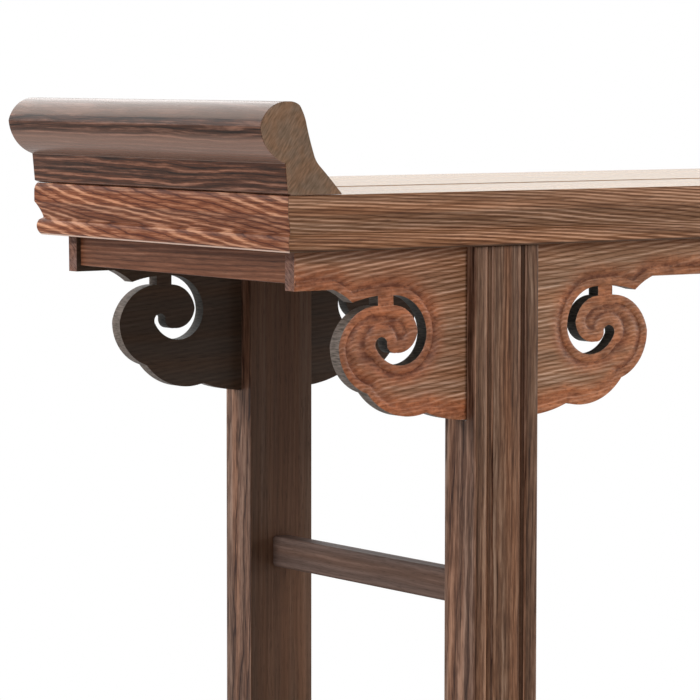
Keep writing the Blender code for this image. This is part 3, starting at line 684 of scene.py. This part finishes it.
# a dark, plain copy of the apron's wood for its back, as painted shade
SHADED_INNER_TONES = ((0.035, 0.020, 0.013), (0.070, 0.045, 0.031), (0.110, 0.073, 0.055))
apron_wood = striped_wood(
    "apron_wood", "X", APRON_TONES, sheet=(0.87, 0.49), lean=-0.065, spacing=0.00155, bend=7.0,
    contrast=1.35, carved=CARVED_TONES, hollow=CARVED_HOLLOW, lit_middle=LIT_MIDDLE_GAIN,
    end=REDDISH_END, strokes=(0.35, 800.0),
)
shaded_inner_wood = striped_wood(
    "apron_shaded_inner_wood", "X", SHADED_INNER_TONES, sheet=(0.87, 0.49), lean=-0.065, spacing=0.0018, bend=7.0,
    contrast=0.5,
)
OUTER_WALL_TONES = ((0.055, 0.043, 0.035), (0.205, 0.165, 0.140))
# the slots' walls take a much darker copy of the sawn wood, as painted shade
SHADED_SLOT_WALL_TONES = ((0.018, 0.016, 0.013), (0.075, 0.065, 0.055))
SAWN_STROKES = (1100.0, 150.0, 1100.0)
SAWN_STOPS = (0.30, 0.70)
SAWN_ROUGH = 0.6
SAWN_SPECULAR = 0.15
SAWN_RELIEF = 0.3


def sawn_wood(name, tones):
    """Sawn edges across a thin board: short dark and pale strokes from front to back."""
    material, tree, shader, spot = new_material(name)
    strokes = noise_at(tree, vectors(tree, "MULTIPLY", spot, SAWN_STROKES))
    ramp = add_node(tree, "ShaderNodeValToRGB", {"Fac": strokes})
    for stop, position, tone in zip(ramp.color_ramp.elements, SAWN_STOPS, tones):
        stop.position = position
        stop.color = (*tone, 1.0)
    finish_wood(tree, shader, ramp.outputs["Color"], SAWN_ROUGH, SAWN_SPECULAR, strokes, SAWN_RELIEF)
    return material


outer_wall_wood = sawn_wood("outer_wall_wood", OUTER_WALL_TONES)
shaded_slot_wall_wood = sawn_wood("shaded_slot_wall_wood", SHADED_SLOT_WALL_TONES)
APRON_WOODS = (apron_wood, outer_wall_wood, shaded_inner_wood, shaded_slot_wall_wood)
FACE_WOOD, WALL_WOOD, SHADED_BACK_WOOD, SHADED_SLOT_WOOD = range(len(APRON_WOODS))


def bowed(start, end, rise, step):
    """An arc from start to end whose middle stands off the chord by rise."""
    run_x = end[0] - start[0]
    run_y = end[1] - start[1]
    length = math.hypot(run_x, run_y)
    via = ((start[0] + end[0]) / 2 - run_y / length * rise, (start[1] + end[1]) / 2 + run_x / length * rise)
    return arc(start, via, end, step)


def carved_depth(gap, force):
    """How far the face lies below the flat ground, by the distance from an edge and its groove's force."""
    floor_depth = RIM_DROP + (CARVED_DEPTH - RIM_DROP) * force
    rim = RIM_DROP * (gap / (RIM_WIDTH / 2) - 1) ** 2
    fall = np.clip((gap - RIM_WIDTH) / (GROOVE_PLACE - RIM_WIDTH), 0, 1)
    rise = np.clip((gap - GROOVE_PLACE) / (CARVED_REACH - GROOVE_PLACE), 0, 1)
    into_groove = RIM_DROP + (floor_depth - RIM_DROP) * fall * fall * (3 - 2 * fall)
    cove = floor_depth * (1 - rise) ** 2 * (1 + 2 * rise)
    return np.where(gap < RIM_WIDTH, rim, np.where(gap < GROOVE_PLACE, into_groove, cove))


def edge_gap(points, starts, ends, stretch):
    """Each point's distance from its nearest edge, divided by the edge's stretch, and the edge's number."""
    runs = ends - starts
    squares = np.maximum((runs ** 2).sum(1), TINY_SQUARE)
    gaps = np.empty(len(points))
    nearest = np.empty(len(points), int)
    for first in range(0, len(points), BATCH):
        some = points[first:first + BATCH, None, :] - starts[None]
        share = np.clip((some * runs[None]).sum(2) / squares, 0, 1)
        reach = np.sqrt(((some - share[..., None] * runs[None]) ** 2).sum(2)) / stretch
        gaps[first:first + BATCH] = reach.min(1)
        nearest[first:first + BATCH] = reach.argmin(1)
    return gaps, nearest


def inside(points, ring):
    """Which points lie inside a closed ring."""
    ring = np.asarray(ring)
    after = np.roll(ring, -1, axis=0)
    result = np.zeros(len(points), bool)
    for (ax, ay), (bx, by) in zip(ring, after):
        crosses = (ay > points[:, 1]) != (by > points[:, 1])
        if abs(by - ay) > TINY:
            result ^= crosses & (points[:, 0] < (bx - ax) * (points[:, 1] - ay) / (by - ay) + ax)
    return result


half_spandrel = arc_path((COVE_START, 0.0), SPANDREL_ARCS, EDGE_STEP)
half_spandrel += bowed(half_spandrel[-1], (LEG_WIDTH / 2, TOE_DROP), -TOE_SWELL, EDGE_STEP)
lobe_start = len(arc_path((COVE_START, 0.0), SPANDREL_ARCS[:ARCS_TO_LOBE], EDGE_STEP))
slot_ring = arc_path(SLOT_START, SLOT_ARCS, EDGE_STEP)
head_start = len(arc_path(SLOT_START, SLOT_ARCS[:ARCS_TO_HEAD], EDGE_STEP))
head_end = len(slot_ring) - 1
slot_ring += line_points(slot_ring[-1], SLOT_START, EDGE_STEP)[1:-1]
ground_top = APRON_EDGE - APRON_TOP


def spandrel_relief():
    """Points of the carved face of half a spandrel, their distance from the nearest edge and its force."""
    past_cove = COVE_START + RUN_OUT
    edge = [(past_cove, 0.0)] + half_spandrel + [(0.0, TOE_DROP)]
    outline = np.array(edge + [(0.0, ground_top), (past_cove, ground_top)])
    edge = np.array(edge)
    hole = np.array(slot_ring)
    starts = np.vstack([edge[:-1], hole])
    ends = np.vstack([edge[1:], np.roll(hole, -1, axis=0)])
    first_hole = len(edge) - 1
    stretch = np.ones(len(starts))
    stretch[first_hole + head_start:first_hole + head_end] = HEAD_STRETCH
    force = np.ones(len(starts) + len(BRIDGE_STRETCH))
    force[lobe_start:first_hole] = LOBE_FORCE

    # the bridge lies between the end of the slot and the notch in the outer edge
    bridge_top = (SLOT_START, SPANDREL_ARCS[1][1])
    bridge_low = (SLOT_ARCS[-1][1], SPANDREL_ARCS[2][1])
    all_starts = np.vstack([starts, [bridge_top[0], bridge_low[0]]])
    all_ends = np.vstack([ends, [bridge_top[1], bridge_low[1]]])
    all_stretch = np.append(stretch, BRIDGE_STRETCH)
    over_bridge = [np.array(line_points(*line, EDGE_STEP)[:-1]) for line in (bridge_top, bridge_low)]

    # points beside every edge at the levels of the relief, and an even grid between them
    tries = list(over_bridge)
    for chain in (edge, hole, *over_bridge):
        before = np.roll(chain, 1, axis=0)
        after = np.roll(chain, -1, axis=0)
        reaches = np.ones(len(chain))
        if chain is hole:
            reaches[head_start:] = HEAD_STRETCH
        else:
            before[0] = chain[0]
            after[-1] = chain[-1]
        along = after - before
        along /= np.linalg.norm(along, axis=1)[:, None]
        side = np.stack([along[:, 1], -along[:, 0]], axis=1)
        for level in RELIEF_LEVELS:
            for sign in (-1, 1):
                tries.append(chain + sign * level * reaches[:, None] * side)
    grid_x = np.arange(LEG_WIDTH / 2 - FACE_LAP, past_cove - GRID_STOP, GRID_STEP)
    grid_y = np.arange(ground_top + TOP_MARGIN, TOE_DROP, GRID_STEP)
    tries.append(np.stack(np.meshgrid(grid_x, grid_y), axis=-1).reshape(-1, 2))
    tries = np.vstack(tries)
    tries = tries[inside(tries, outline) & ~inside(tries, hole)]
    tries = tries[(tries[:, 0] > LEG_WIDTH / 2 - FACE_LAP) & (tries[:, 0] < past_cove - FACE_LAP)]
    to_edge, _ = edge_gap(tries, starts, ends, stretch)
    gaps, nearest = edge_gap(tries, all_starts, all_ends, all_stretch)
    bridge = [bridge_top[0], bridge_top[1], bridge_low[1], bridge_low[0]]
    gaps[inside(tries, bridge)] = ON_BRIDGE
    kept = []
    taken = set()
    for point, clear, gap, edge_force in zip(tries, to_edge, gaps, force[nearest]):
        cell = (round(point[0] / POINT_CELL), round(point[1] / POINT_CELL))
        if clear > POINT_CLEARANCE and gap < WORKED_REACH + GRID_STEP and cell not in taken:
            taken.add(cell)
            kept.append((point[0], point[1], gap, edge_force))
    return kept


def long_apron_mesh():
    """Vertices, faces, the first face of the slots' walls, and how carved and how deep each vertex is."""
    lower = []
    holes = []
    relief = []
    half_relief = spandrel_relief()
    corner = (-APRON_END, 0.0)
    for centre in (-LEG_X, LEG_X):
        lower += line_points(corner, (centre - COVE_START, 0.0), STRAIGHT_STEP)[:-1]
        lower += [(centre - out, down) for out, down in half_spandrel]
        lower += [(centre + out, down) for out, down in reversed(half_spandrel)][:-1]
        corner = (centre + COVE_START, 0.0)
        for sign in (-1, 1):
            holes.append([(centre + sign * out, down) for out, down in slot_ring])
            relief += [(centre + sign * out, down, gap, force) for out, down, gap, force in half_relief]
    lower += line_points(corner, (APRON_END, 0.0), STRAIGHT_STEP)
    levels = RELIEF_LEVELS + tuple(np.arange(RELIEF_LEVELS[-1], WORKED_REACH + GRID_STEP, GRID_STEP)[1:])
    for first, last in (
        (-APRON_END, -LEG_X - COVE_START - PLAIN_START),
        (-LEG_X + COVE_START + PLAIN_START, LEG_X - COVE_START - PLAIN_START),
        (LEG_X + COVE_START + PLAIN_START, APRON_END),
    ):
        plain_run = line_points((first + PLAIN_MARGIN, 0.0), (last - PLAIN_MARGIN, 0.0), STRAIGHT_STEP)
        for x, _ in plain_run[:-1]:
            relief += [(x, -level, level, 1.0) for level in levels]
    outline = lower + [(APRON_END, ground_top), (-APRON_END, ground_top)]
    flat = []
    edges = []
    for ring in [outline] + holes:
        numbers = range(len(flat), len(flat) + len(ring))
        edges += zip(numbers, [*numbers[1:], numbers[0]])
        flat += [(x, down, 0.0, 1.0) for x, down in ring]
    edge_count = len(flat)
    for top_corner in range(len(lower), len(outline)):
        flat[top_corner] = (*outline[top_corner], WORKED_REACH, 1.0)

    def filled(points):
        """Triangles between the rings, by the numbers of the points given."""
        places = [point[:2] for point in points]
        spots, _, faces, origins, _, _ = delaunay_2d_cdt(places, edges, [], FILL_INSIDE, FILL_GAP)
        numbers = [origin[0] for origin in origins]
        faces = np.array([face[:3] for face in faces])
        middles = np.array(spots)[faces].mean(1)
        keep = np.ones(len(faces), bool)
        for hole in holes:
            keep &= ~inside(middles, hole)
        return [tuple(numbers[corner] for corner in face) for face in faces[keep]]

    points = flat + relief
    gaps = np.array([point[2] for point in points])
    forces = np.array([point[3] for point in points])
    sunk = np.where(gaps == ON_BRIDGE, BRIDGE_DEPTH, carved_depth(gaps, forces))
    vertices = [(spot[0], APRON_FRONT + depth, APRON_EDGE - spot[1]) for spot, depth in zip(points, sunk)]
    first_back = len(vertices)
    vertices += [(point[0], APRON_BACK, APRON_EDGE - point[1]) for point in flat]
    faces = filled(points)
    faces += [tuple(first_back + corner for corner in reversed(face)) for face in filled(flat)]
    first_slot_wall = len(faces) + len(outline)
    faces += [(first, second, first_back + second, first_back + first) for first, second in edges]
    worked = np.clip((WORKED_REACH - gaps) / (WORKED_REACH - WORKED_FULL), 0, 1)
    deep = np.clip((sunk - RIM_DROP) / (CARVED_DEPTH - RIM_DROP), 0, 1)
    deep[gaps == ON_BRIDGE] = BRIDGE_SHADE
    deep[:edge_count] = 0.0
    worked[:edge_count] = WORKED_ARRIS
    behind = (0, edge_count)
    return vertices, faces, first_slot_wall, np.pad(worked, behind), np.pad(deep, behind)


apron_vertices, apron_faces, apron_slot_wall, apron_worked, apron_deep = long_apron_mesh()
for row, turn in (("front", 1.0), ("rear", -1.0)):
    turned = [(turn * x, turn * y, z) for x, y, z in apron_vertices]
    apron = mesh_piece(f"{row}_carved_apron", turned, apron_faces)
    mark(apron, "carved", apron_worked)
    mark(apron, "hollow", apron_deep)
    for wood in APRON_WOODS:
        apron.data.materials.append(wood)
    # the walls are the faces with four corners, and those at the board's two ends take its end grain
    for face in apron.data.polygons:
        # the slots' walls take the dark copy of the sawn wood, painted shade
        if face.index >= apron_slot_wall:
            face.material_index = SHADED_SLOT_WOOD
        elif len(face.vertices) == 4 and abs(face.center.x) < APRON_END - EDGE_STEP:
            face.material_index = WALL_WOOD
        # the back takes the dark copy of the wood, painted shade
        elif face.normal.y * turn > BACK_SLOPE:
            face.material_index = SHADED_BACK_WOOD
        else:
            face.material_index = FACE_WOOD
    apron.data.shade_smooth()
    apron.data.set_sharp_from_angle(angle=math.radians(APRON_SMOOTH_ANGLE))
    settle(apron, "long_apron", f"{row}_apron")

# End aprons: a plain narrow board under each end rail, stubbed into the backs of the long aprons.
# Same hardwood, planed flat, with its arrises just eased.
END_APRON_FACE = -0.480
END_APRON_THICKNESS = 0.0105
END_APRON_LOW = 0.403
END_APRON_HIGH = 0.4236
END_APRON_REACH = 0.1274
END_APRON_TONES = ((0.046, 0.015, 0.006), (0.136, 0.052, 0.026), (0.275, 0.130, 0.078))
end_apron_wood = striped_wood(
    "end_apron_wood", "Y", END_APRON_TONES, sheet=(0.25, 0.97), lean=0.02, spacing=0.0034, bend=4.0,
    contrast=0.85, flecks=0.10,
)


def planed_board(name, low, high, wood, ease):
    """A flat board between two corners, with its arrises eased."""
    board = box_piece(name, low, high)
    board.data.materials.append(wood)
    ease_edges(board, ease)
    plain_mesh(board)
    return board


for side, sign in (("left", 1.0), ("right", -1.0)):
    low_x, high_x = sorted((sign * END_APRON_FACE, sign * (END_APRON_FACE + END_APRON_THICKNESS)))
    low = (low_x, -END_APRON_REACH, END_APRON_LOW)
    high = (high_x, END_APRON_REACH, END_APRON_HIGH)
    end_apron = planed_board(f"{side}_plain_apron", low, high, end_apron_wood, ARRIS)
    settle(end_apron, "end_apron", f"{side}_end_apron")

# Long rails: the long members of the mitred top frame, of striped hardwood with a moulded outer edge.
# The moulding is a soft nose, a sloping neck, a quirk and a bead, run along the whole rail.
TOP_LENGTH = 1.000
TOP_DEPTH = 0.312
TOP_HEIGHT = 0.460
RAIL_BOTTOM = 0.424
RAIL_WIDTH = 0.062
NOSE_EASE = 0.0016
NOSE_DROP = 0.0055
NOSE_STEPS = 8
NECK_DROP = 0.0130
NECK_HOLLOW = 0.0005
QUIRK_DEPTH = 0.0047
QUIRK_RISE = 0.0120
BEAD_HEIGHT = 0.0105
BEAD_INSET = 0.0024
BEAD_UNDERCUT = 0.0036
BEAD_SWELL = 0.0018
RAIL_STEP = 0.0007
JOINT = 0.00004
WAXED_TOP = (0.30, 0.3, (1.0, 0.72, 0.42))
# painted shade on the downward faces of the long rails' bead
UNDERSIDE_SHADE = ((0.035, 0.016, 0.009), -0.50, -0.60, 0.80)
LONG_RAIL_TONES = ((0.056, 0.020, 0.007), (0.162, 0.075, 0.037), (0.375, 0.214, 0.135))
long_rail_wood = striped_wood(
    "long_rail_wood", "X", LONG_RAIL_TONES, sheet=(0.42, 0.91), lean=0.05, spacing=0.0021, bend=7.0,
    contrast=1.45, rubbed=0.3, bloom=WAXED_TOP, under=UNDERSIDE_SHADE,
)


def rail_section():
    """Section of a rail as (in from the outer face, height)."""
    nose_radius = (NOSE_EASE ** 2 + NOSE_DROP ** 2) / (2 * NOSE_EASE)
    nose_angle = math.asin(NOSE_DROP / nose_radius)
    section = []
    for number in range(NOSE_STEPS + 1):
        angle = nose_angle * (1 - number / NOSE_STEPS)
        inset = nose_radius * (1 - math.cos(angle))
        section.append((inset, TOP_HEIGHT - NOSE_DROP + nose_radius * math.sin(angle)))
    section.append((0.0, TOP_HEIGHT - NECK_DROP))
    section += bowed(section[-1], (QUIRK_DEPTH, RAIL_BOTTOM + QUIRK_RISE), NECK_HOLLOW, RAIL_STEP)
    section.append((BEAD_INSET, RAIL_BOTTOM + BEAD_HEIGHT))
    section += bowed(section[-1], (BEAD_UNDERCUT, RAIL_BOTTOM), -BEAD_SWELL, RAIL_STEP)
    section += [(RAIL_WIDTH - JOINT, RAIL_BOTTOM), (RAIL_WIDTH - JOINT, TOP_HEIGHT)]
    return section


def mitred_rail(name, length, wood, turn, place):
    """A member of the top frame: the rail's section run along its length, mitred at both ends."""
    half_run = length / 2 - JOINT
    section = [(-half_run, inset, height) for inset, height in rail_section()]
    run = (2 * half_run, 0.0, 0.0)
    return moulded_piece(name, section, run, wood, mitre=1.0, turn=turn, place=place, ease=ARRIS / 2)


for row, turn, place_y in (("front", 0.0, -TOP_DEPTH / 2), ("rear", math.pi, TOP_DEPTH / 2)):
    long_rail = mitred_rail(f"{row}_moulded_rail", TOP_LENGTH, long_rail_wood, turn, (0.0, place_y, 0.0))
    settle(long_rail, "long_rail", f"{row}_long_rail")

# End rails: the short members of the top frame, mitred to the long rails and carrying the flanges.
# Same moulding; flat-sawn wood with bold slanting figure, redder than the rest.
END_RAIL_TONES = ((0.074, 0.016, 0.005), (0.203, 0.064, 0.026), (0.580, 0.290, 0.170))
# painted reflection of the floor on the downward faces of the end rails' bead
UNDERSIDE_REFLECTION = ((0.680, 0.480, 0.385), -0.555, -0.61, 0.95)
end_rail_wood = striped_wood(
    "end_rail_wood", "Y", END_RAIL_TONES, sheet=(0.58, 0.81), lean=-0.115, spacing=0.0042, ripple=1.2,
    contrast=1.4, flecks=0.10, under=UNDERSIDE_REFLECTION,
)
for side, sign in (("left", -1), ("right", 1)):
    place = (sign * TOP_LENGTH / 2, 0.0, 0.0)
    turn = sign * math.pi / 2
    end_rail = mitred_rail(f"{side}_moulded_end_rail", TOP_DEPTH, end_rail_wood, turn, place)
    settle(end_rail, "end_rail", f"{side}_end_rail")

# Panel: two boards floating flush in the frame, tongued together along one seam.
# Flat-sawn striped hardwood, planed and oiled, with a fine eased line at every joint.
INNER_LENGTH = 0.438
INNER_DEPTH = 0.094
SEAM_Y = -0.026
PANEL_BOTTOM = 0.445
SEAM_STEP = 0.0003
PANEL_ARRIS = ARRIS / 6
PANEL_TONES = ((0.070, 0.030, 0.015), (0.160, 0.080, 0.045), (0.300, 0.175, 0.115))
panel_wood = striped_wood(
    "panel_wood", "X", PANEL_TONES, sheet=(0.45, 0.89), lean=0.012, spacing=0.0040, bend=8.0, rubbed=0.3,
    bloom=WAXED_TOP,
)
for row, low_y, high_y, board_top in (
    ("front", -INNER_DEPTH, SEAM_Y, TOP_HEIGHT - SEAM_STEP), ("rear", SEAM_Y, INNER_DEPTH, TOP_HEIGHT),
):
    low = (-INNER_LENGTH + JOINT, low_y + JOINT, PANEL_BOTTOM)
    high = (INNER_LENGTH - JOINT, high_y - JOINT, board_top)
    board = planed_board(f"{row}_flush_board", low, high, panel_wood, PANEL_ARRIS)
    settle(board, "panel", f"{row}_panel_board")

# Cross battens: three hardwood bars dovetailed across the underside of the panel to keep it flat.
# They are tenoned into the long rails; one bar is repeated along the table by a node tree.
BATTEN_COUNT = 3
BATTEN_SPACING = 0.219
BATTEN_WIDTH = 0.030
BATTEN_HEIGHT = 0.0138
BATTEN_REACH = 0.0937
batten_wood = striped_wood("batten_wood", "Y", PANEL_TONES, sheet=(0.4, 0.92), spacing=0.0042)


def batten_row_tree():
    """A node tree that repeats one bar in an even row."""
    tree, given = new_tree("batten row", {
        "Bar": "Geometry", "Count": "Int", "Spacing": "Vector", "First": "Vector", "Wood": "Material",
    })
    places = add_node(
        tree, "GeometryNodeMeshLine",
        {"Count": given["Count"], "Start Location": given["First"], "Offset": given["Spacing"]},
    ).outputs[0]
    bars = add_node(tree, "GeometryNodeInstanceOnPoints", {"Points": places, "Instance": given["Bar"]})
    end_tree(tree, bars.outputs[0], given["Wood"])
    return tree


battens = box_piece(
    "cross_battens",
    (-BATTEN_WIDTH / 2, -BATTEN_REACH, PANEL_BOTTOM - BATTEN_HEIGHT),
    (BATTEN_WIDTH / 2, BATTEN_REACH, PANEL_BOTTOM - JOINT),
)
run_nodes(battens, batten_row_tree(), {
    "Count": BATTEN_COUNT, "Spacing": (BATTEN_SPACING, 0.0, 0.0),
    "First": (-BATTEN_SPACING * (BATTEN_COUNT - 1) / 2, 0.0, 0.0), "Wood": batten_wood,
})
ease_edges(battens, ARRIS * 2)
plain_mesh(battens)
settle(battens, "batten", "cross_batten_1", "cross_batten_2", "cross_batten_3")

# Everted flanges: a crest run along each end of the top, rolling outwards over the end rail.
# One solid length of hardwood each, set down on the rail over hidden dowels; its ends show end grain.
FLANGE_FOOT = (-0.0018, 0.0200)
FLANGE_ARCS = (
    ((-0.0145, 0.0284), (-0.0206, 0.0430)),
    ((-0.0145, 0.0533), (0.0010, 0.0586)),
    ((0.0060, 0.0580), (0.0095, 0.0562)),
    ((0.0123, 0.0513), (0.0144, 0.0454)),
    ((0.0173, 0.0345), (0.0202, 0.0256)),
    ((0.0217, 0.0220), (0.0245, 0.0183)),
    ((0.0340, 0.0087), (0.0420, 0.0)),
)
FLANGE_STEP = 0.0012
FLANGE_SMOOTH_ANGLE = 16.0
FLANGE_GAP_DEPTH = 0.0035
FLANGE_GAP_HEIGHT = 0.0013
FLANGE_REACH = 0.1552
FLANGE_BASE = 0.46025
FLANGE_TONES = ((0.014, 0.005, 0.002), (0.068, 0.025, 0.013), (0.285, 0.134, 0.086))
# painted light on the flange: a painted reflection of the floor on its under-curve, and a painted highlight
# on the upper slope of its roll
FLANGE_UNDER_REFLECTION = ((0.270, 0.160, 0.120), -0.25, -0.50, 0.75)
FLANGE_TOP_GLARE = ((0.150, 0.096, 0.070), 0.42, 0.50, 0.65)
flange_wood = striped_wood(
    "flange_wood", "Y", FLANGE_TONES, sheet=(0.79, 0.62), lean=0.006, spacing=0.0032, bend=6.0, ripple=0.9,
    contrast=1.15, fibres=0.26, flecks=0.10, sway=0.003, rough=0.26, specular=0.10, relief=0.06,
    rubbed=0.9, under=FLANGE_UNDER_REFLECTION, over=FLANGE_TOP_GLARE,
)
flange_ring = [(FLANGE_GAP_DEPTH, 0.0), (0.0, FLANGE_GAP_HEIGHT)]
flange_ring += arc_path(FLANGE_FOOT, FLANGE_ARCS, FLANGE_STEP)
flange_section = [(inset, -FLANGE_REACH, FLANGE_BASE + height) for inset, height in flange_ring]
for side, turn, place_x in (("left", 0.0, -TOP_LENGTH / 2), ("right", math.pi, TOP_LENGTH / 2)):
    flange = moulded_piece(
        f"{side}_everted_flange", flange_section, (0.0, 2 * FLANGE_REACH, 0.0), flange_wood,
        turn=turn, place=(place_x, 0.0, 0.0), smooth_angle=FLANGE_SMOOTH_ANGLE,
    )
    settle(flange, "flange", f"{side}_flange")

# Flange dowels: hidden pegs, half in the end rail and half in the flange, three at each end.
# They keep the plain solids of the frame, in the same wood.
dowel_wood = striped_wood("dowel_wood", "Z", PANEL_TONES, sheet=(0.6, 0.8), spacing=0.0040)
for side in ("left", "right"):
    for number in (1, 2, 3):
        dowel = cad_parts[f"{side}_flange_dowel_{number}"]
        dowel.material_slots[0].material = dowel_wood

# Floor: a plain pale sheet under the table. Rays that make the picture see it fade to white
# away from the table, and near the legs it keeps their shadow. From below it is clear.
FLOOR_HALF = 6.0
FLOOR_TONE = (0.50, 0.49, 0.48)
FLOOR_ROUGH = 0.9
WHITE = (1.0, 1.0, 1.0, 1.0)
SHADOW_SHARE = 0.45
SHADOW_INNER = 0.25
SHADOW_OUTER = 0.55
SHADOW_SQUASH = (1.0, 1.8, 1.0)


def seen_ray(tree):
    """1 for rays that show the background: straight to the camera, in a gloss or through glass."""
    path = add_node(tree, "ShaderNodeLightPath").outputs
    some = maths(tree, "MAXIMUM", path["Is Camera Ray"], path["Is Glossy Ray"])
    return maths(tree, "MAXIMUM", some, path["Is Transmission Ray"])


def mixed_shader(tree, share, first, second):
    """Two shaders mixed by a share of the second."""
    values = {0: share, 1: first.outputs[0], 2: second.outputs[0]}
    return add_node(tree, "ShaderNodeMixShader", values)


def floor_paint():
    """Matt paint, clear from below, which the picture sees fade to white away from the table."""
    material, tree, shader, spot = new_material("floor_paint")
    paint = {"Base Color": (*FLOOR_TONE, 1.0), "Roughness": FLOOR_ROUGH, "Specular IOR Level": 0.0}
    feed(tree, shader, paint)
    from_middle = vectors(tree, "LENGTH", vectors(tree, "MULTIPLY", spot, SHADOW_SQUASH))
    values = {"Value": from_middle, "From Min": SHADOW_INNER, "From Max": SHADOW_OUTER}
    fade = add_node(tree, "ShaderNodeMapRange", {**values, "To Min": 1.0 - SHADOW_SHARE}).outputs[0]
    white_share = maths(tree, "MULTIPLY", fade, seen_ray(tree))
    white = add_node(tree, "ShaderNodeEmission", {"Color": WHITE, "Strength": 1.0})
    from_above = mixed_shader(tree, white_share, shader, white)
    below = add_node(tree, "ShaderNodeNewGeometry").outputs["Backfacing"]
    both_sides = mixed_shader(tree, below, from_above, add_node(tree, "ShaderNodeBsdfTransparent"))
    feed(tree, tree.nodes["Material Output"], {"Surface": both_sides.outputs[0]})
    return material


corners = [(x * FLOOR_HALF, y * FLOOR_HALF, 0.0) for x, y in ((-1, -1), (1, -1), (1, 1), (-1, 1))]
floor = mesh_piece("floor", corners, [(0, 1, 2, 3)])
floor.data.materials.append(floor_paint())

# Light: a plain white room, which rays that make the picture see as pure white.
# Large soft lamps stand in front, at both ends and behind the table, and one hangs overhead.
ROOM_STRENGTH = 0.26
scene = bpy.context.scene
world = bpy.data.worlds.new("white_room")
scene.world = world
world.use_nodes = True
world_tree = world.node_tree
room = world_tree.nodes["Background"]
feed(world_tree, room, {"Color": WHITE, "Strength": ROOM_STRENGTH})
backdrop = add_node(world_tree, "ShaderNodeBackground", {"Color": WHITE, "Strength": 1.0})
world_mix = mixed_shader(world_tree, seen_ray(world_tree), room, backdrop)
feed(world_tree, world_tree.nodes["World Output"], {"Surface": world_mix.outputs[0]})


def soft_lamp(name, place, target, size, power):
    """A large rectangular lamp at a place, turned to a target."""
    data = bpy.data.lights.new(name, "AREA")
    data.shape = "RECTANGLE"
    data.size, data.size_y = size
    data.energy = power
    lamp = new_object(name, data)
    lamp.location = place
    aim = Vector(target) - lamp.location
    lamp.rotation_euler = aim.to_track_quat("-Z", "Y").to_euler()


soft_lamp("front_lamp", (0.0, -3.2, 1.55), (-0.2, 0.0, 0.35), size=(0.7, 1.4), power=75.0)
soft_lamp("left_lamp", (-2.7, 0.7, 1.45), (-0.45, 0.0, 0.30), size=(1.4, 0.3), power=41.0)
soft_lamp("right_lamp", (2.5, -1.3, 0.8), (-0.1, 0.1, 0.25), size=(0.9, 0.9), power=26.0)
soft_lamp("back_lamp", (-0.7, 2.6, 1.95), (-0.6, 0.0, 0.5), size=(4.2, 1.6), power=48.0)
soft_lamp("top_lamp", (-0.1, 0.1, 2.6), (-0.1, 0.1, 0.0), size=(2.0, 1.2), power=27.0)

# Camera: the photograph's own view, on one front corner from just above the top.
# A long lens on a full-frame sensor, with its place and its angles fitted to the table's edges.
SENSOR_WIDTH = 36.0
LENS = 182.555
CAMERA_PLACE = (-1.75237, -1.97965, 0.54081)
CAMERA_ANGLES = (85.4247, -0.0516, -35.4718)
camera_data = bpy.data.cameras.new("photo_view")
camera_data.sensor_width = SENSOR_WIDTH
camera_data.lens = LENS
camera = new_object("photo_view", camera_data)
camera.location = CAMERA_PLACE
camera.rotation_euler = [math.radians(angle) for angle in CAMERA_ANGLES]
scene.camera = camera
scene.view_settings.view_transform = "Standard"
